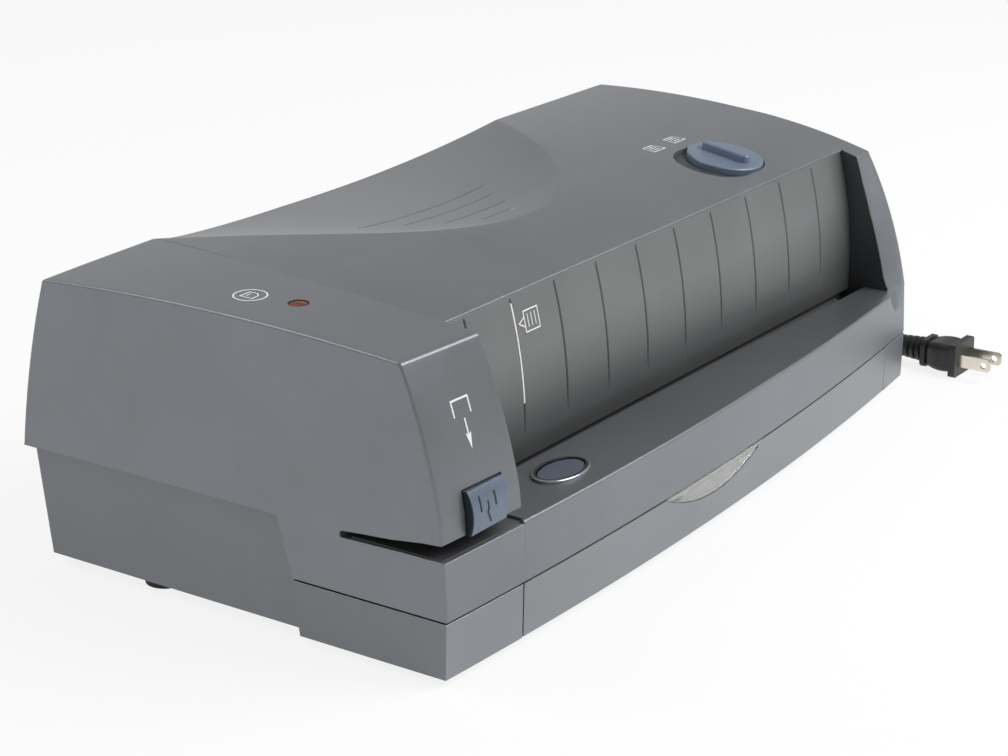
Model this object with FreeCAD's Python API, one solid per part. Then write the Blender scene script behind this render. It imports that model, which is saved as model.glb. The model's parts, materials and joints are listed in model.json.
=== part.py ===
import FreeCAD, Part
import math
import os

# Electric desk punch with a built-in stapler.
# While it is being drawn, x runs along the machine from its left end, y runs back from the
# front and z is the height over the table. save() moves every piece so that the origin is
# the middle of the footprint. All sizes are millimetres.

V = FreeCAD.Vector
X_AXIS, Y_AXIS, Z_AXIS = V(1, 0, 0), V(0, 1, 0), V(0, 0, 1)

# ---- casing
LENGTH = 406.6            # left end to right end
CENTRE_Y = 103.9          # middle of the depth, moved to y = 0 on saving
SKIN = 2.5                # thickness of the mouldings
HEAD_X = 49.0             # right side of the stapler head
HEAD_LEAN = 0.047         # how far that side leans inwards per unit of height
WALL_X = 393.2            # inner face of the right-hand end wall
BOTTOM_Z = 3.0            # underside of the base over the table
REAR_Z = 4.5              # underside of its inset rear
SEAM_Z = 26.0             # joint between the cover and the base along the front
SEAM_GAP = 0.4            # half of the shadow gap at that joint
LEDGE_Z = 50.8            # paper ledge, and the cover's lower edge behind
DECK_Z = 49.6             # floor of the throat under the stapler head
LEDGE_BACK = 31.2         # rear edge of the ledge, where the paper slot starts
BAY_BACK_Y = 44.5         # wall behind the foot of the paper panel
STEP_Y = 72.0             # end of the deep front section at the seam
BOW_RADIUS = 2170.0       # plan radius of the bowed front
BOW_X, BOW_Y = 120.0, -2.8    # foremost point of the bow
FAR = 60.0                # how far rough blanks reach past the casing

# ---- side outlines, as (y, z)
REAR_RADIUS = 2.2
REAR_BULGE = (206.2, 84.0)
REAR_FOOT = (211.7, LEDGE_Z)
HEAD_TOP = ((19.0, 123.2), (112.0, 127.4), (194.8, 124.8))
MAIN_TOP_FRONT = ((18.0, 107.0), (70.0, 121.1), (110.0, 125.7))
MAIN_TOP_REAR = ((152.0, 127.4), (195.4, 125.8))
PANEL_FOOT_Y = 39.2       # front of the paper panel where it enters the slot
PANEL_TOP_Z = 115.0
PANEL_THICK = 2.5
PANEL_RADIUS = 193.5      # lean of the paper panel, tangent to its upright foot
PANEL_X = (50.2, 391.4)

# ---- paper panel grooves
GROOVE_PITCH = 31.5
FIRST_GROOVE_X = 78.1
GROOVE_COUNT = 10
GROOVE_WIDTH = 1.6
GROOVE_DEPTH = 0.9

# ---- chip tray
TRAY_X = (47.8, 379.7)
TRAY_BACK_Y = 62.0
TRAY_GAP = 0.6            # clearance at each side of the tray
WINDOW_X = 193.6          # middle of the crescent window
WINDOW_LOW_Z = 15.3
WINDOW_RADIUS = 97.5

# ---- punching: three holes at 4.25 inch pitch, 12 mm from the sheet's edge
HOLE_PITCH = 108.0
MIDDLE_HOLE_X = 249.3
PUNCH_Z = 41.5
PIN_R = 3.5
PIN_CLEARANCE = 0.07
CHANNEL_Z = 27.6          # underside of the punch frame
DIE_Y = (28.0, 33.2)
GUIDE_Y = (36.2, 40.2)
BAR_Y = (58.0, 65.0)

# ---- drive
SHAFT_Y, SHAFT_Z, SHAFT_R = 84.0, 52.0, 4.0
RACK_MODULE, RACK_TEETH = 1.25, 12
GEAR_MODULE, GEAR_TEETH, MOTOR_TEETH = 1.0, 48, 12
BACKLASH = 0.30
STUB = 0.7                # tooth height over the pitch line, in modules
MOTOR_R = 17.5
MOTOR_ANGLE = math.radians(40.0)     # direction from the shaft up to the motor
MOTOR_SHAFT_R = 1.6
RUNNING_GAP = 0.06        # radial clearance of a turning shaft

# ---- stapler
STAPLER_X = 26.4          # centre line of the magazine
STAPLE_Y = 12.0
THROAT_DEPTH = 48.6
BUTTON_X = (15.6, 37.0)
BUTTON_Z = (54.8, 72.2)

# ---- controls
SELECTOR = (329.0, 75.0)
SELECTOR_TRAVEL = 11.0
SELECTOR_R = 18.2
SELECTOR_TILT = 9.6       # slope of the top under the selector, degrees
OVAL = (99.5, 15.3)
OVAL_RADII = (15.7, 9.8)
LAMP = (26.0, 86.5)
LAMP_R = 4.2

# ---- electrics
BOARD_X = (188.0, 340.0)
BOARD_Z = 60.0
STAND_XS, STAND_YS = (196.0, 332.0), (120.0, 170.0)
STAND_Z = 20.0            # foot of the board's stands on the base's posts

# ---- power cord
CORD_R = 3.2
GLAND_X, GLAND_Z, GLAND_R = 300.0, 22.0, 6.0
GLAND_SEAT_Y = 205.4      # where the gland's collar meets the base's rear wall
COIL_CENTRE = (356.0, 266.0)
COIL_OUTER, COIL_INNER, COIL_HEIGHT = 46.0, 22.5, 19.2
PLUG_X, PLUG_Z = 435.0, 8.5
PLUG_FACE_Y = -5.0
TAIL_ROUTE = [(300.0, 226.0, 22.0), (300.6, 240.0, 18.6), (303.5, 254.0, 10.5),
              (308.5, 266.0, 5.2), (312.5, 276.0, 3.7)]
LEAD_ROUTE = [(352.0, 308.9, 15.4), (384.0, 309.5, 12.0), (411.0, 301.0, 6.0), (430.0, 280.0, 3.5),
              (437.0, 250.0, 3.3), (438.0, 205.0, 3.3), (434.0, 160.0, 3.3), (436.0, 115.0, 3.3),
              (435.5, 78.0, 3.7), (435.0, 56.0, 7.2), (435.0, 41.0, 8.6)]


# ================= helpers
def outline(start, *steps):
    """Flat face in the y-z plane. A step is an end point, or (middle, end) for an arc."""
    edges, last = [], start
    for step in steps + (start,):
        if isinstance(step[0], tuple):
            middle, end = step
            edges.append(Part.Arc(V(0, *last), V(0, *middle), V(0, *end)).toShape())
        else:
            end = step
            edges.append(Part.makeLine(V(0, *last), V(0, *end)))
        last = end
    return Part.Face(Part.Wire(edges))


def along_x(face, x0, x1):
    """Extrude a y-z face from x0 to x1."""
    return face.translated(V(x0, 0, 0)).extrude(V(x1 - x0, 0, 0))


def block(x0, x1, y0, y1, z0, z1):
    """Box between two corners."""
    return Part.makeBox(x1 - x0, y1 - y0, z1 - z0, V(x0, y0, z0))


def rod(x, y, z, radius, length, axis):
    """Cylinder from a point along an axis."""
    return Part.makeCylinder(radius, length, V(x, y, z), axis)


def rounded_slab(x0, x1, y0, y1, z0, z1, radius):
    """Box whose upright edges are rounded."""
    slab = block(x0, x1, y0, y1, z0, z1)
    upright = [e for e in slab.Edges if abs(e.tangentAt(e.FirstParameter).z) > 0.99]
    return slab.makeFillet(radius, upright)


def soften(shape, radius, chosen):
    """Fillet the edges whose middle point passes the test."""
    edges = [e for e in shape.Edges if chosen(e.valueAt(0.5 * (e.FirstParameter + e.LastParameter)))]
    return shape.makeFillet(radius, edges)


def oval(inset, z0, z1):
    """Upright elliptic cylinder inside the oval button's outline."""
    ellipse = Part.Ellipse(V(OVAL[0], OVAL[1], z0), OVAL_RADII[0] - inset, OVAL_RADII[1] - inset)
    return Part.Face(Part.Wire(ellipse.toShape())).extrude(V(0, 0, z1 - z0))


def stadium(x0, x1, radius, z0, z1):
    """Slab with round ends whose end centres lie at x0 and x1 on the x axis."""
    ends = [rod(x, 0, z0, radius, z1 - z0, Z_AXIS) for x in (x0, x1)]
    return fused(ends + [block(x0, x1, -radius, radius, z0, z1)])


def fused(shapes):
    """One solid made of several that meet."""
    return shapes[0].multiFuse(shapes[1:]).removeSplitter()


def group(shapes):
    """Separate identical solids kept in one piece list."""
    return Part.makeCompound(shapes)


def save(name, shape):
    """Centre a piece on the footprint and write it."""
    shape.translated(V(-LENGTH / 2, -CENTRE_Y, 0)).exportStep("parts/%s.step" % name)


def bow(x):
    """y of the bowed front at x."""
    return BOW_Y + BOW_RADIUS - math.sqrt(BOW_RADIUS ** 2 - (x - BOW_X) ** 2)


def behind_front(*steps):
    """Everything behind a front section swept round the bow. Steps are (depth, z)."""
    def moved(step):
        if isinstance(step[0], tuple):
            return tuple(moved(point) for point in step)
        return (step[0] + BOW_Y, step[1])

    path = [moved(step) for step in steps]
    last = path[-1][1] if isinstance(path[-1][0], tuple) else path[-1]
    back, low, high = BOW_Y + 450.0, path[0][1], 200.0
    face = outline(path[0], *path[1:], (last[0], high), (back, high), (back, low))
    centre = V(BOW_X, BOW_Y + BOW_RADIUS, 0)
    turned = face.translated(V(BOW_X, 0, 0)).rotated(centre, Z_AXIS, -5.0)
    return turned.revolve(centre, Z_AXIS, 15.0)


def below_seam(depth):
    """Everything behind the front under the joint, which leans out a little towards the top."""
    return behind_front((depth + 0.07, 0.0), (depth - 1.26, 60.0))


# ================= upper cover
def side(top, inset=0.0):
    """Side outline of the cover under a given top line, moved in by the inset."""
    t = inset
    foot = (REAR_FOOT[0] - t, REAR_FOOT[1] - (5.0 if t else 0.0))
    seam = SEAM_Z + SEAM_GAP - (10.0 if t else 0.0)
    lowered = []
    for step in top:
        if isinstance(step[0], tuple):
            lowered.append(tuple((y - 0.35 * t, z - t) for y, z in step))
        else:
            lowered.append((step[0], step[1] - t))
    lowered[0] = (-FAR, lowered[0][1])
    corner = top[-1][1]
    lowered[-1] = (lowered[-1][0], (corner[0] - 0.65 * t, corner[1] - t))
    return outline((-FAR, seam), *lowered, ((REAR_BULGE[0] - t, REAR_BULGE[1]), foot),
                   (STEP_Y + 7.2 + t, foot[1]), (STEP_Y + t, seam))


def head_side(inset=0.0):
    front, crown, rear = HEAD_TOP
    return side(((-FAR, front[1] - 4.5), front, (crown, rear)), inset)


def main_side(inset=0.0):
    front, middle, join = MAIN_TOP_FRONT
    crown, rear = MAIN_TOP_REAR
    return side(((-FAR, front[1] - 30.0), front, (middle, join), (crown, rear)), inset)


def head_front(t=0.0):
    """Front of the stapler head: upright above the throat, then leaning back in a soft curve."""
    return behind_front((-1.8 + t, 10.0), (-0.1 + t, 49.6), ((0.2 + t, 50.5), (0.9 + t, LEDGE_Z + t)),
                        (1.0 + t, 56.0), (1.6 + t, 65.0), ((7.4 + t, 91.0), (17.4 + t, 119.5)),
                        ((18.6 + t, 122.2), (22.5 + t, 124.4)))


def wall_front(t=0.0):
    """Front of the right-hand end wall."""
    return behind_front((-1.8 + t, 10.0), (-0.1 + t, 49.6), ((9.6 + t, 86.0), (29.0 + t, 124.0)))


def throat_space():
    """Gap under the stapler head where the sheets' corner goes in. It is higher at the front."""
    end = THROAT_DEPTH - 1.4
    section = outline((-FAR, DECK_Z), (20.0, DECK_Z), (end, DECK_Z - 0.6),
                      ((THROAT_DEPTH, DECK_Z + 0.8), (end, DECK_Z + 2.2)), (24.0, 53.6), (0.0, 56.6),
                      (-FAR, 58.5))
    panel_edge = block(HEAD_X - SKIN, LENGTH, PANEL_FOOT_Y - 0.6, FAR, 0, FAR)
    return along_x(section, -FAR, HEAD_X + 2).cut(panel_edge)


def scoop_space():
    """Hand hollow in the rear of the top: a trough that widens and falls to the back edge."""
    def section(y):
        floor, radius, half = 124.1 - 0.0607 * (y - 90.0), 392.0 + 5.3 * (y - 90.0), 150.0
        rise = radius - math.sqrt(radius ** 2 - half ** 2)
        x0, x1, top = 192.0 - half, 192.0 + half, 200.0
        arc = Part.Arc(V(x0, y, floor + rise), V(192.0, y, floor), V(x1, y, floor + rise)).toShape()
        lid = [Part.makeLine(V(x1, y, floor + rise), V(x1, y, top)),
               Part.makeLine(V(x1, y, top), V(x0, y, top)),
               Part.makeLine(V(x0, y, top), V(x0, y, floor + rise))]
        return Part.Wire([arc] + lid)
    return Part.makeLoft([section(82.0), section(230.0)], True, True)


def on_top(shape):
    """Set a piece drawn flat about the selector's centre onto the sloping top."""
    placed = shape.rotated(V(0, 0, 0), X_AXIS, SELECTOR_TILT)
    return placed.translated(V(SELECTOR[0], SELECTOR[1], 121.9))


def top_under(depth):
    """Solid under the scoop's surface, moved down by the depth."""
    return scoop_space().translated(V(0, 0, -depth))


def rounded_rear(prism, corner):
    """Round the long edge between the top and the rear."""
    y, z = corner
    return soften(prism, REAR_RADIUS, lambda p: abs(p.y - y) < 0.01 and abs(p.z - z) < 0.01)


def head_width(inset=0.0):
    """Blank as wide as the stapler head, whose right side leans inwards towards the top."""
    high, right = 150.0, HEAD_X - inset
    corners = [(inset, 0), (right, 0), (right, LEDGE_Z), (right - HEAD_LEAN * (high - LEDGE_Z), high),
               (inset, high), (inset, 0)]
    face = Part.Face(Part.makePolygon([V(x, -FAR, z) for x, z in corners]))
    return face.extrude(V(0, 2 * FAR + 200, 0))


def upper_cover():
    head = rounded_rear(along_x(head_side(), 0, HEAD_X), HEAD_TOP[-1]).common(head_front())
    head = head.common(head_width())
    main_x = HEAD_X - 5.0
    main = rounded_rear(along_x(main_side(), main_x, LENGTH), MAIN_TOP_REAR[-1]).common(wall_front())
    head = soften(head, 1.0, lambda p: abs(p.x) < 0.01 and p.z > LEDGE_Z + 0.1)
    main = soften(main, 1.5, lambda p: abs(p.x - LENGTH) < 0.01 and p.z > LEDGE_Z + 0.1)
    t = SKIN
    bay = along_x(outline((-FAR, LEDGE_Z), (LEDGE_BACK, LEDGE_Z), (LEDGE_BACK, 40.0), (BAY_BACK_Y, 40.0),
                          (BAY_BACK_Y, 60.0), (50.4, PANEL_TOP_Z + 0.3), (46.9, PANEL_TOP_Z + 0.3),
                          (47.3, 150.0), (-FAR, 150.0)), main_x, WALL_X)
    main = main.cut(bay)
    outer = fused([head, main])
    inner_head = along_x(head_side(t), t, HEAD_X - t).common(head_width(t))
    inner_top = [inner_head, along_x(main_side(t), main_x - 1.5, LENGTH - t)]
    behind = block(-FAR, LENGTH + FAR, THROAT_DEPTH + t, 400, 0, 200)
    hollow = [shape.common(behind) for shape in inner_top]
    head_room = along_x(outline((-FAR, 59.3), (24.0, 56.2), (THROAT_DEPTH + t + 1, 54.2),
                                (THROAT_DEPTH + t + 1, 150), (-FAR, 150)), t, HEAD_X - t)
    hollow.append(head_room.common(inner_head).common(head_front(t)))
    lip_room = block(t, LENGTH - t, -FAR, THROAT_DEPTH + t + 1, 0, LEDGE_Z - t)
    under_deck = block(0, HEAD_X + 3, -FAR, FAR, DECK_Z - 3.4, FAR)
    hollow.append(lip_room.cut(under_deck).common(head_front(t)))
    wall_room = along_x(main_side(t), WALL_X + t, LENGTH - t).common(wall_front(t))
    hollow.append(wall_room)
    hollow = [piece.cut(top_under(t)) for piece in hollow]
    shell = outer.cut(scoop_space())
    for piece in hollow + [throat_space()]:
        shell = shell.cut(piece)
    pad = on_top(stadium(-SELECTOR_TRAVEL, 0, SELECTOR_R + 3, -5.0, -1.0))
    shell = fused([shell, pad])
    shell = shell.cut(on_top(stadium(-SELECTOR_TRAVEL, 0, SELECTOR_R + 0.7, -2.4, 20.0)))
    shell = shell.cut(on_top(stadium(-SELECTOR_TRAVEL, 0, 3.6, -9.0, 0.0)))
    nose_x0, nose_x1 = BUTTON_X[0] - 0.5, BUTTON_X[1] + 0.5
    shell = shell.cut(block(nose_x0, nose_x1, -FAR, 12.0, LEDGE_Z + 0.2, BUTTON_Z[1] + 0.5))
    shell = shell.cut(block(nose_x0, nose_x1, 0.0, 32.0, LEDGE_Z + 0.2, 62.0))
    shell = shell.cut(oval(1.0, 40, 60))
    shell = shell.cut(rod(LAMP[0], LAMP[1], 110, LAMP_R, 30, Z_AXIS))
    anvil_seat = block(SKIN - 0.9, HEAD_X + 1.6, -FAR, THROAT_DEPTH - 4.0, DECK_Z - 1.4, LEDGE_Z + 1)
    return shell.cut(anvil_seat.common(head_front(1.6)))


# ================= lower half
def base():
    """Tray-shaped lower half: deep front corners, a bay for the chip tray and an inset rear."""
    top, inset, t = SEAM_Z - SEAM_GAP, 3.2, SKIN
    deep = outline((-FAR, BOTTOM_Z), (STEP_Y - 2.9, BOTTOM_Z), (STEP_Y + 0.3, top), (-FAR, top))
    front = along_x(deep, 0, LENGTH).common(below_seam(-0.5))
    shallow = outline((50, REAR_Z), (201.6, REAR_Z), (208.0, LEDGE_Z), (206.6, 57.0), (82.0, 57.0),
                      (77.0, 40.0), (STEP_Y - 2.5, top), (50, top))
    shell = fused([front, along_x(shallow, inset, LENGTH - inset)])
    room = outline((STEP_Y, REAR_Z + t), (201.6 - t, REAR_Z + t), (207.0 - t, 60.0), (50, 60.0),
                   (50, top), (STEP_Y, top))
    shell = shell.cut(along_x(room, inset + t, LENGTH - inset - t))
    bay_back = TRAY_BACK_Y + 4.5
    bay = (TRAY_X[0] - TRAY_GAP, TRAY_X[1] + TRAY_GAP)
    inside = below_seam(t - 0.5)
    for x0, x1 in ((t, bay[0] - t), (bay[1] + t, LENGTH - t)):
        shell = shell.cut(block(x0, x1, -FAR, bay_back, BOTTOM_Z + t, 60).common(inside))
    shell = shell.cut(block(*bay, -FAR, bay_back, BOTTOM_Z + t, 60))
    mouth = block(*bay, -FAR, bay_back, 0, 60)
    shell = shell.cut(mouth.cut(below_seam(t + 0.1)))
    rails = [block(x0, x1, 28, bay_back, BOTTOM_Z + 1, CHANNEL_Z)
             for x0, x1 in ((bay[0] - t, bay[0]), (bay[1], bay[1] + t))]
    posts = [rod(x, y, REAR_Z + 0.5, 5, STAND_Z - REAR_Z - 0.5, Z_AXIS) for x in STAND_XS for y in STAND_YS]
    shell = fused([shell] + rails + posts)
    return shell.cut(rod(GLAND_X, 180, GLAND_Z, GLAND_R, 40, Y_AXIS))


def rubber_feet():
    feet = []
    for x, y, height in ((20, 30, BOTTOM_Z), (LENGTH - 18, 40, BOTTOM_Z), (15.5, 151, REAR_Z),
                         (LENGTH - 15.5, 151, REAR_Z)):
        feet.append(rod(x, y, 0, 8.5, height, Z_AXIS).cut(rod(x, y, -1, 2.2, 2.2, Z_AXIS)))
    return group(feet)


def chip_tray():
    """Drawer under the dies: a bowed face with a crescent cut-out and an open tub behind it."""
    x0, x1 = TRAY_X
    low, high = BOTTOM_Z + 0.4, SEAM_Z - SEAM_GAP
    face = block(x0, x1, -FAR, 40, low, high).common(below_seam(-0.5))
    face = face.cut(below_seam(SKIN - 0.5))
    face = face.cut(rod(WINDOW_X, -FAR, WINDOW_LOW_Z + WINDOW_RADIUS, WINDOW_RADIUS, 2 * FAR, Y_AXIS))
    tub = block(x0 + 2.4, x1 - 2.4, -FAR, TRAY_BACK_Y, BOTTOM_Z + 3.1, high - 1.6)
    tub = tub.common(below_seam(SKIN - 0.6))
    pocket = block(x0 + 4.2, x1 - 4.2, -FAR, TRAY_BACK_Y - 1.8, BOTTOM_Z + 4.9, 60)
    tub = tub.cut(pocket.common(below_seam(2 * SKIN - 1.6)))
    opening = rod(WINDOW_X, -FAR, WINDOW_LOW_Z + WINDOW_RADIUS - 1.0, WINDOW_RADIUS - 2.0, FAR + 8, Y_AXIS)
    tub = tub.cut(opening)
    return fused([face, tub])


def tray_window():
    """Clear crescent pane let into the top of the tray's face, with a finger lip."""
    high = SEAM_Z - SEAM_GAP
    disc = rod(WINDOW_X, -FAR, WINDOW_LOW_Z + WINDOW_RADIUS, WINDOW_RADIUS - 0.2, 2 * FAR, Y_AXIS)
    slab = block(TRAY_X[0], TRAY_X[1], -FAR, 40, 5, high).common(disc)
    pane = slab.common(below_seam(0.2)).cut(below_seam(1.9))
    lip = slab.common(block(0, 400, -FAR, 60, high - 1.6, high))
    lip = lip.common(below_seam(-0.5)).cut(below_seam(1.9))
    return fused([pane, lip])


# ================= paper guide
def panel_face(thick):
    """Side outline of the paper panel: upright in the slot, then leaning gently back."""
    top, foot = PANEL_TOP_Z, 47.6
    y, bend = PANEL_FOOT_Y, 60.0

    def lean(z):
        return PANEL_RADIUS - math.sqrt(PANEL_RADIUS ** 2 - (z - bend) ** 2)

    middle = 0.5 * (bend + top)
    return outline((y, foot), (y, bend), ((y + lean(middle), middle), (y + lean(top), top)),
                   (y + lean(top) + thick, top), ((y + lean(middle) + thick, middle), (y + thick, bend)),
                   (y + thick, foot))


def paper_panel():
    panel = along_x(panel_face(PANEL_THICK), *PANEL_X)
    panel = soften(panel, 2.2, lambda p: abs(p.x - PANEL_X[1]) < 0.01 and p.y < PANEL_FOOT_Y + 2.2)
    groove = panel_face(GROOVE_DEPTH)
    for i in range(GROOVE_COUNT):
        x = FIRST_GROOVE_X + i * GROOVE_PITCH
        cutter = along_x(groove, x - GROOVE_WIDTH / 2, x + GROOVE_WIDTH / 2)
        panel = panel.cut(cutter.cut(block(0, 500, 0, 80, 0, 58.0)))
    back = PANEL_FOOT_Y + PANEL_THICK
    tabs = [block(x, x + 8, back - 0.1, BAY_BACK_Y, 50, 58) for x in (80, 217, 355)]
    return fused([panel] + tabs)


# ================= punch mechanism
def hole_xs():
    return [MIDDLE_HOLE_X + i * HOLE_PITCH for i in (-1, 0, 1)]


def punch_frame():
    """Bent steel channel that carries the die, the pin guide and the drive shaft."""
    x0, x1 = TRAY_X[0] - TRAY_GAP - SKIN, TRAY_X[1] + TRAY_GAP + SKIN
    plate = block(x0, x1, DIE_Y[0], 98, CHANNEL_Z, CHANNEL_Z + 2)
    ears = [rounded_ear(x) for x in (122.0, 374.0)]
    frame = fused([plate] + ears)
    return frame.cut(block(x0 + 14, 116, 68, 120, 0, 40))


def rounded_ear(x):
    """Upright lug with the shaft's bearing hole."""
    lug = block(x, x + 2.5, SHAFT_Y - 11, SHAFT_Y + 11, CHANNEL_Z, SHAFT_Z)
    ear = fused([lug, rod(x, SHAFT_Y, SHAFT_Z, 11, 2.5, X_AXIS)])
    return ear.cut(rod(x - 1, SHAFT_Y, SHAFT_Z, SHAFT_R + 2.0, 5, X_AXIS))


def bearing_bushes():
    bushes = []
    for x in (121.0, 373.0):
        body = rod(x, SHAFT_Y, SHAFT_Z, SHAFT_R + 2.0, 3.6, X_AXIS)
        flange = rod(x, SHAFT_Y, SHAFT_Z, SHAFT_R + 3.5, 1.0, X_AXIS)
        bore = rod(x - 1, SHAFT_Y, SHAFT_Z, SHAFT_R + RUNNING_GAP, 8, X_AXIS)
        bushes.append(fused([body, flange]).cut(bore))
    return group(bushes)


def drilled_bar(y0, y1, x0, x1, z1, radius):
    bar = block(x0, x1, y0, y1, CHANNEL_Z + 2, z1)
    for x in hole_xs():
        bar = bar.cut(rod(x, y0 - 1, PUNCH_Z, radius, y1 - y0 + 2, Y_AXIS))
    return bar


def die_plate():
    bar = drilled_bar(DIE_Y[0], DIE_Y[1], 60, 376, 47.4, PIN_R + PIN_CLEARANCE)
    return bar.makeChamfer(1.6, [e for e in bar.Edges if abs(e.CenterOfMass.y - DIE_Y[1]) < 0.01
                                 and abs(e.CenterOfMass.z - 47.4) < 0.01])


def pin_guide():
    bar = drilled_bar(GUIDE_Y[0], GUIDE_Y[1], 60, 376, 47.0, PIN_R + PIN_CLEARANCE)
    return bar.makeChamfer(1.6, [e for e in bar.Edges if abs(e.CenterOfMass.y - GUIDE_Y[0]) < 0.01
                                 and abs(e.CenterOfMass.z - 47.0) < 0.01])


def punch_pins():
    """Hollow-ground pins: each has a V across its cutting end."""
    pins = []
    for x in hole_xs():
        pin = rod(x, GUIDE_Y[0] + 0.8, PUNCH_Z, PIN_R, BAR_Y[0] - GUIDE_Y[0] - 0.8, Y_AXIS)
        vee = Part.Face(Part.makePolygon([V(x - 5, GUIDE_Y[0] - 3, 30), V(x + 5, GUIDE_Y[0] - 3, 30),
                                          V(x, GUIDE_Y[0] + 2.6, 30), V(x - 5, GUIDE_Y[0] - 3, 30)]))
        pins.append(pin.cut(vee.extrude(V(0, 0, 25))))
    return group(pins)


def rack_teeth(x0, x1):
    """Row of straight-flanked teeth on top of a rack arm, level with the shaft's pinion."""
    pitch = math.pi * RACK_MODULE
    pitch_z = SHAFT_Z - RACK_MODULE * RACK_TEETH / 2
    half = pitch / 4 - BACKLASH / 2
    slope = math.tan(math.radians(20))
    tip, root = pitch_z + STUB * RACK_MODULE, pitch_z - 1.1 * RACK_MODULE
    teeth = []
    for i in range(-4, 5):
        y = SHAFT_Y + pitch * (i + 0.5)
        face = outline((y - half - slope * 1.6, root - 0.01), (y - half + slope * (tip - pitch_z), tip),
                       (y + half - slope * (tip - pitch_z), tip), (y + half + slope * 1.6, root - 0.01))
        teeth.append(along_x(face, x0, x1))
    return teeth, root


def punch_bar():
    """Bar that drives the three pins, with a toothed rack arm at each end."""
    x0, x1 = 128.0, 370.0
    bar = block(x0, x1, BAR_Y[0], BAR_Y[1], PUNCH_Z - 5.5, PUNCH_Z + 5.0)
    arms = []
    for a, b in ((x0, x0 + 9), (x1 - 9, x1)):
        teeth, root = rack_teeth(a, b)
        arms += [block(a, b, BAR_Y[1] - 1, SHAFT_Y + 19, PUNCH_Z - 5.5, root)] + teeth
    return fused([bar] + arms)


def involute_gear(module, teeth, x0, x1, y, z, phase, backlash):
    """Spur gear about an x axis. Each flank is an involute of the 20 degree base circle."""
    pitch_r = module * teeth / 2
    base_r = pitch_r * math.cos(math.radians(20))
    tip_r, root_r = pitch_r + STUB * module, pitch_r - 1.1 * module
    involute = math.tan(math.radians(20)) - math.radians(20)
    half = math.pi / (2 * teeth) - backlash / (2 * pitch_r)

    def flank(radius):
        if radius <= base_r:
            return half + involute
        roll = math.sqrt((radius / base_r) ** 2 - 1)
        return half + involute - (roll - math.atan(roll))

    radii = [root_r] + [max(base_r, root_r) + (tip_r - max(base_r, root_r)) * k / 3 for k in range(4)]
    points = []
    for i in range(teeth):
        middle = phase + 2 * math.pi * i / teeth
        side_points = [(r, flank(r)) for r in radii]
        for r, angle in side_points:
            points.append((r, middle - angle))
        for r, angle in reversed(side_points):
            points.append((r, middle + angle))
    ring = [V(x0, y + r * math.cos(a), z + r * math.sin(a)) for r, a in points]
    return Part.Face(Part.makePolygon(ring + [ring[0]])).extrude(V(x1 - x0, 0, 0))


def drive_shaft():
    """Shaft with a flat for the gear and the two rack pinions."""
    shaft = rod(104, SHAFT_Y, SHAFT_Z, SHAFT_R, 275, X_AXIS)
    down = -math.pi / 2
    pinions = [involute_gear(RACK_MODULE, RACK_TEETH, a, b, SHAFT_Y, SHAFT_Z, down, BACKLASH)
               for a, b in ((128.5, 136.5), (361.5, 369.5))]
    return fused([shaft] + pinions)


def drive_gear():
    """Large spoked gear. A gap between two teeth faces the motor's pinion."""
    phase = MOTOR_ANGLE + math.pi / GEAR_TEETH
    gear = involute_gear(GEAR_MODULE, GEAR_TEETH, 106, 112, SHAFT_Y, SHAFT_Z, phase, 0.2)
    hub = rod(104.5, SHAFT_Y, SHAFT_Z, 8, 9, X_AXIS)
    gear = fused([gear, hub]).cut(rod(100, SHAFT_Y, SHAFT_Z, SHAFT_R, 20, X_AXIS))
    for i in range(6):
        a = math.pi / 3 * i
        y, z = SHAFT_Y + 14.5 * math.cos(a), SHAFT_Z + 14.5 * math.sin(a)
        gear = gear.cut(rod(100, y, z, 4.0, 20, X_AXIS))
    return gear


def motor_axis():
    """y and z of the motor's axis."""
    reach = GEAR_MODULE * (GEAR_TEETH + MOTOR_TEETH) / 2 + 0.1
    return SHAFT_Y + reach * math.cos(MOTOR_ANGLE), SHAFT_Z + reach * math.sin(MOTOR_ANGLE)


def motor_pinion():
    y, z = motor_axis()
    pinion = involute_gear(GEAR_MODULE, MOTOR_TEETH, 105.5, 112.5, y, z, MOTOR_ANGLE + math.pi, 0.2)
    return fused([pinion, rod(104.5, y, z, MOTOR_SHAFT_R, 18, X_AXIS)])


def motor():
    """Round can with a front boss, a rear bearing cup and two terminals."""
    y, z = motor_axis()
    can = soften(rod(119, y, z, MOTOR_R, 56, X_AXIS), 2.0, lambda p: p.x > 174)
    body = [can, rod(116.4, y, z, 6.0, 3, X_AXIS), rod(174, y, z, 5, 4, X_AXIS)]
    tabs = [block(172, 180, y + s * 8 - 2.4, y + s * 8 + 2.4, z + 7, z + 7.8) for s in (-1, 1)]
    return fused(body + tabs).cut(rod(110, y, z, MOTOR_SHAFT_R + RUNNING_GAP, 14, X_AXIS))


def motor_bracket():
    """Folded plate that stands on the base and holds the motor by its front boss."""
    y, z = motor_axis()
    floor = REAR_Z + SKIN
    plate = block(116.5, 119.0, 99, 125, floor, z + 12)
    foot = block(116.5, 140.0, 99, 125, floor, floor + SKIN)
    return fused([plate.cut(rod(110, y, z, 6.0, 20, X_AXIS)), foot])


def coil_spring(x, y, z, radius, wire, length, turns):
    """Compression spring with its wire swept along an upright helix."""
    rise = length - 2 * wire
    helix = Part.makeHelix(rise / turns, rise, radius)
    circle = Part.Wire(Part.makeCircle(wire, V(radius, 0, 0), Y_AXIS))
    spring = Part.Wire(helix.Edges).makePipeShell([circle], True, True)
    return spring.translated(V(x, y, z + wire))


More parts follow.
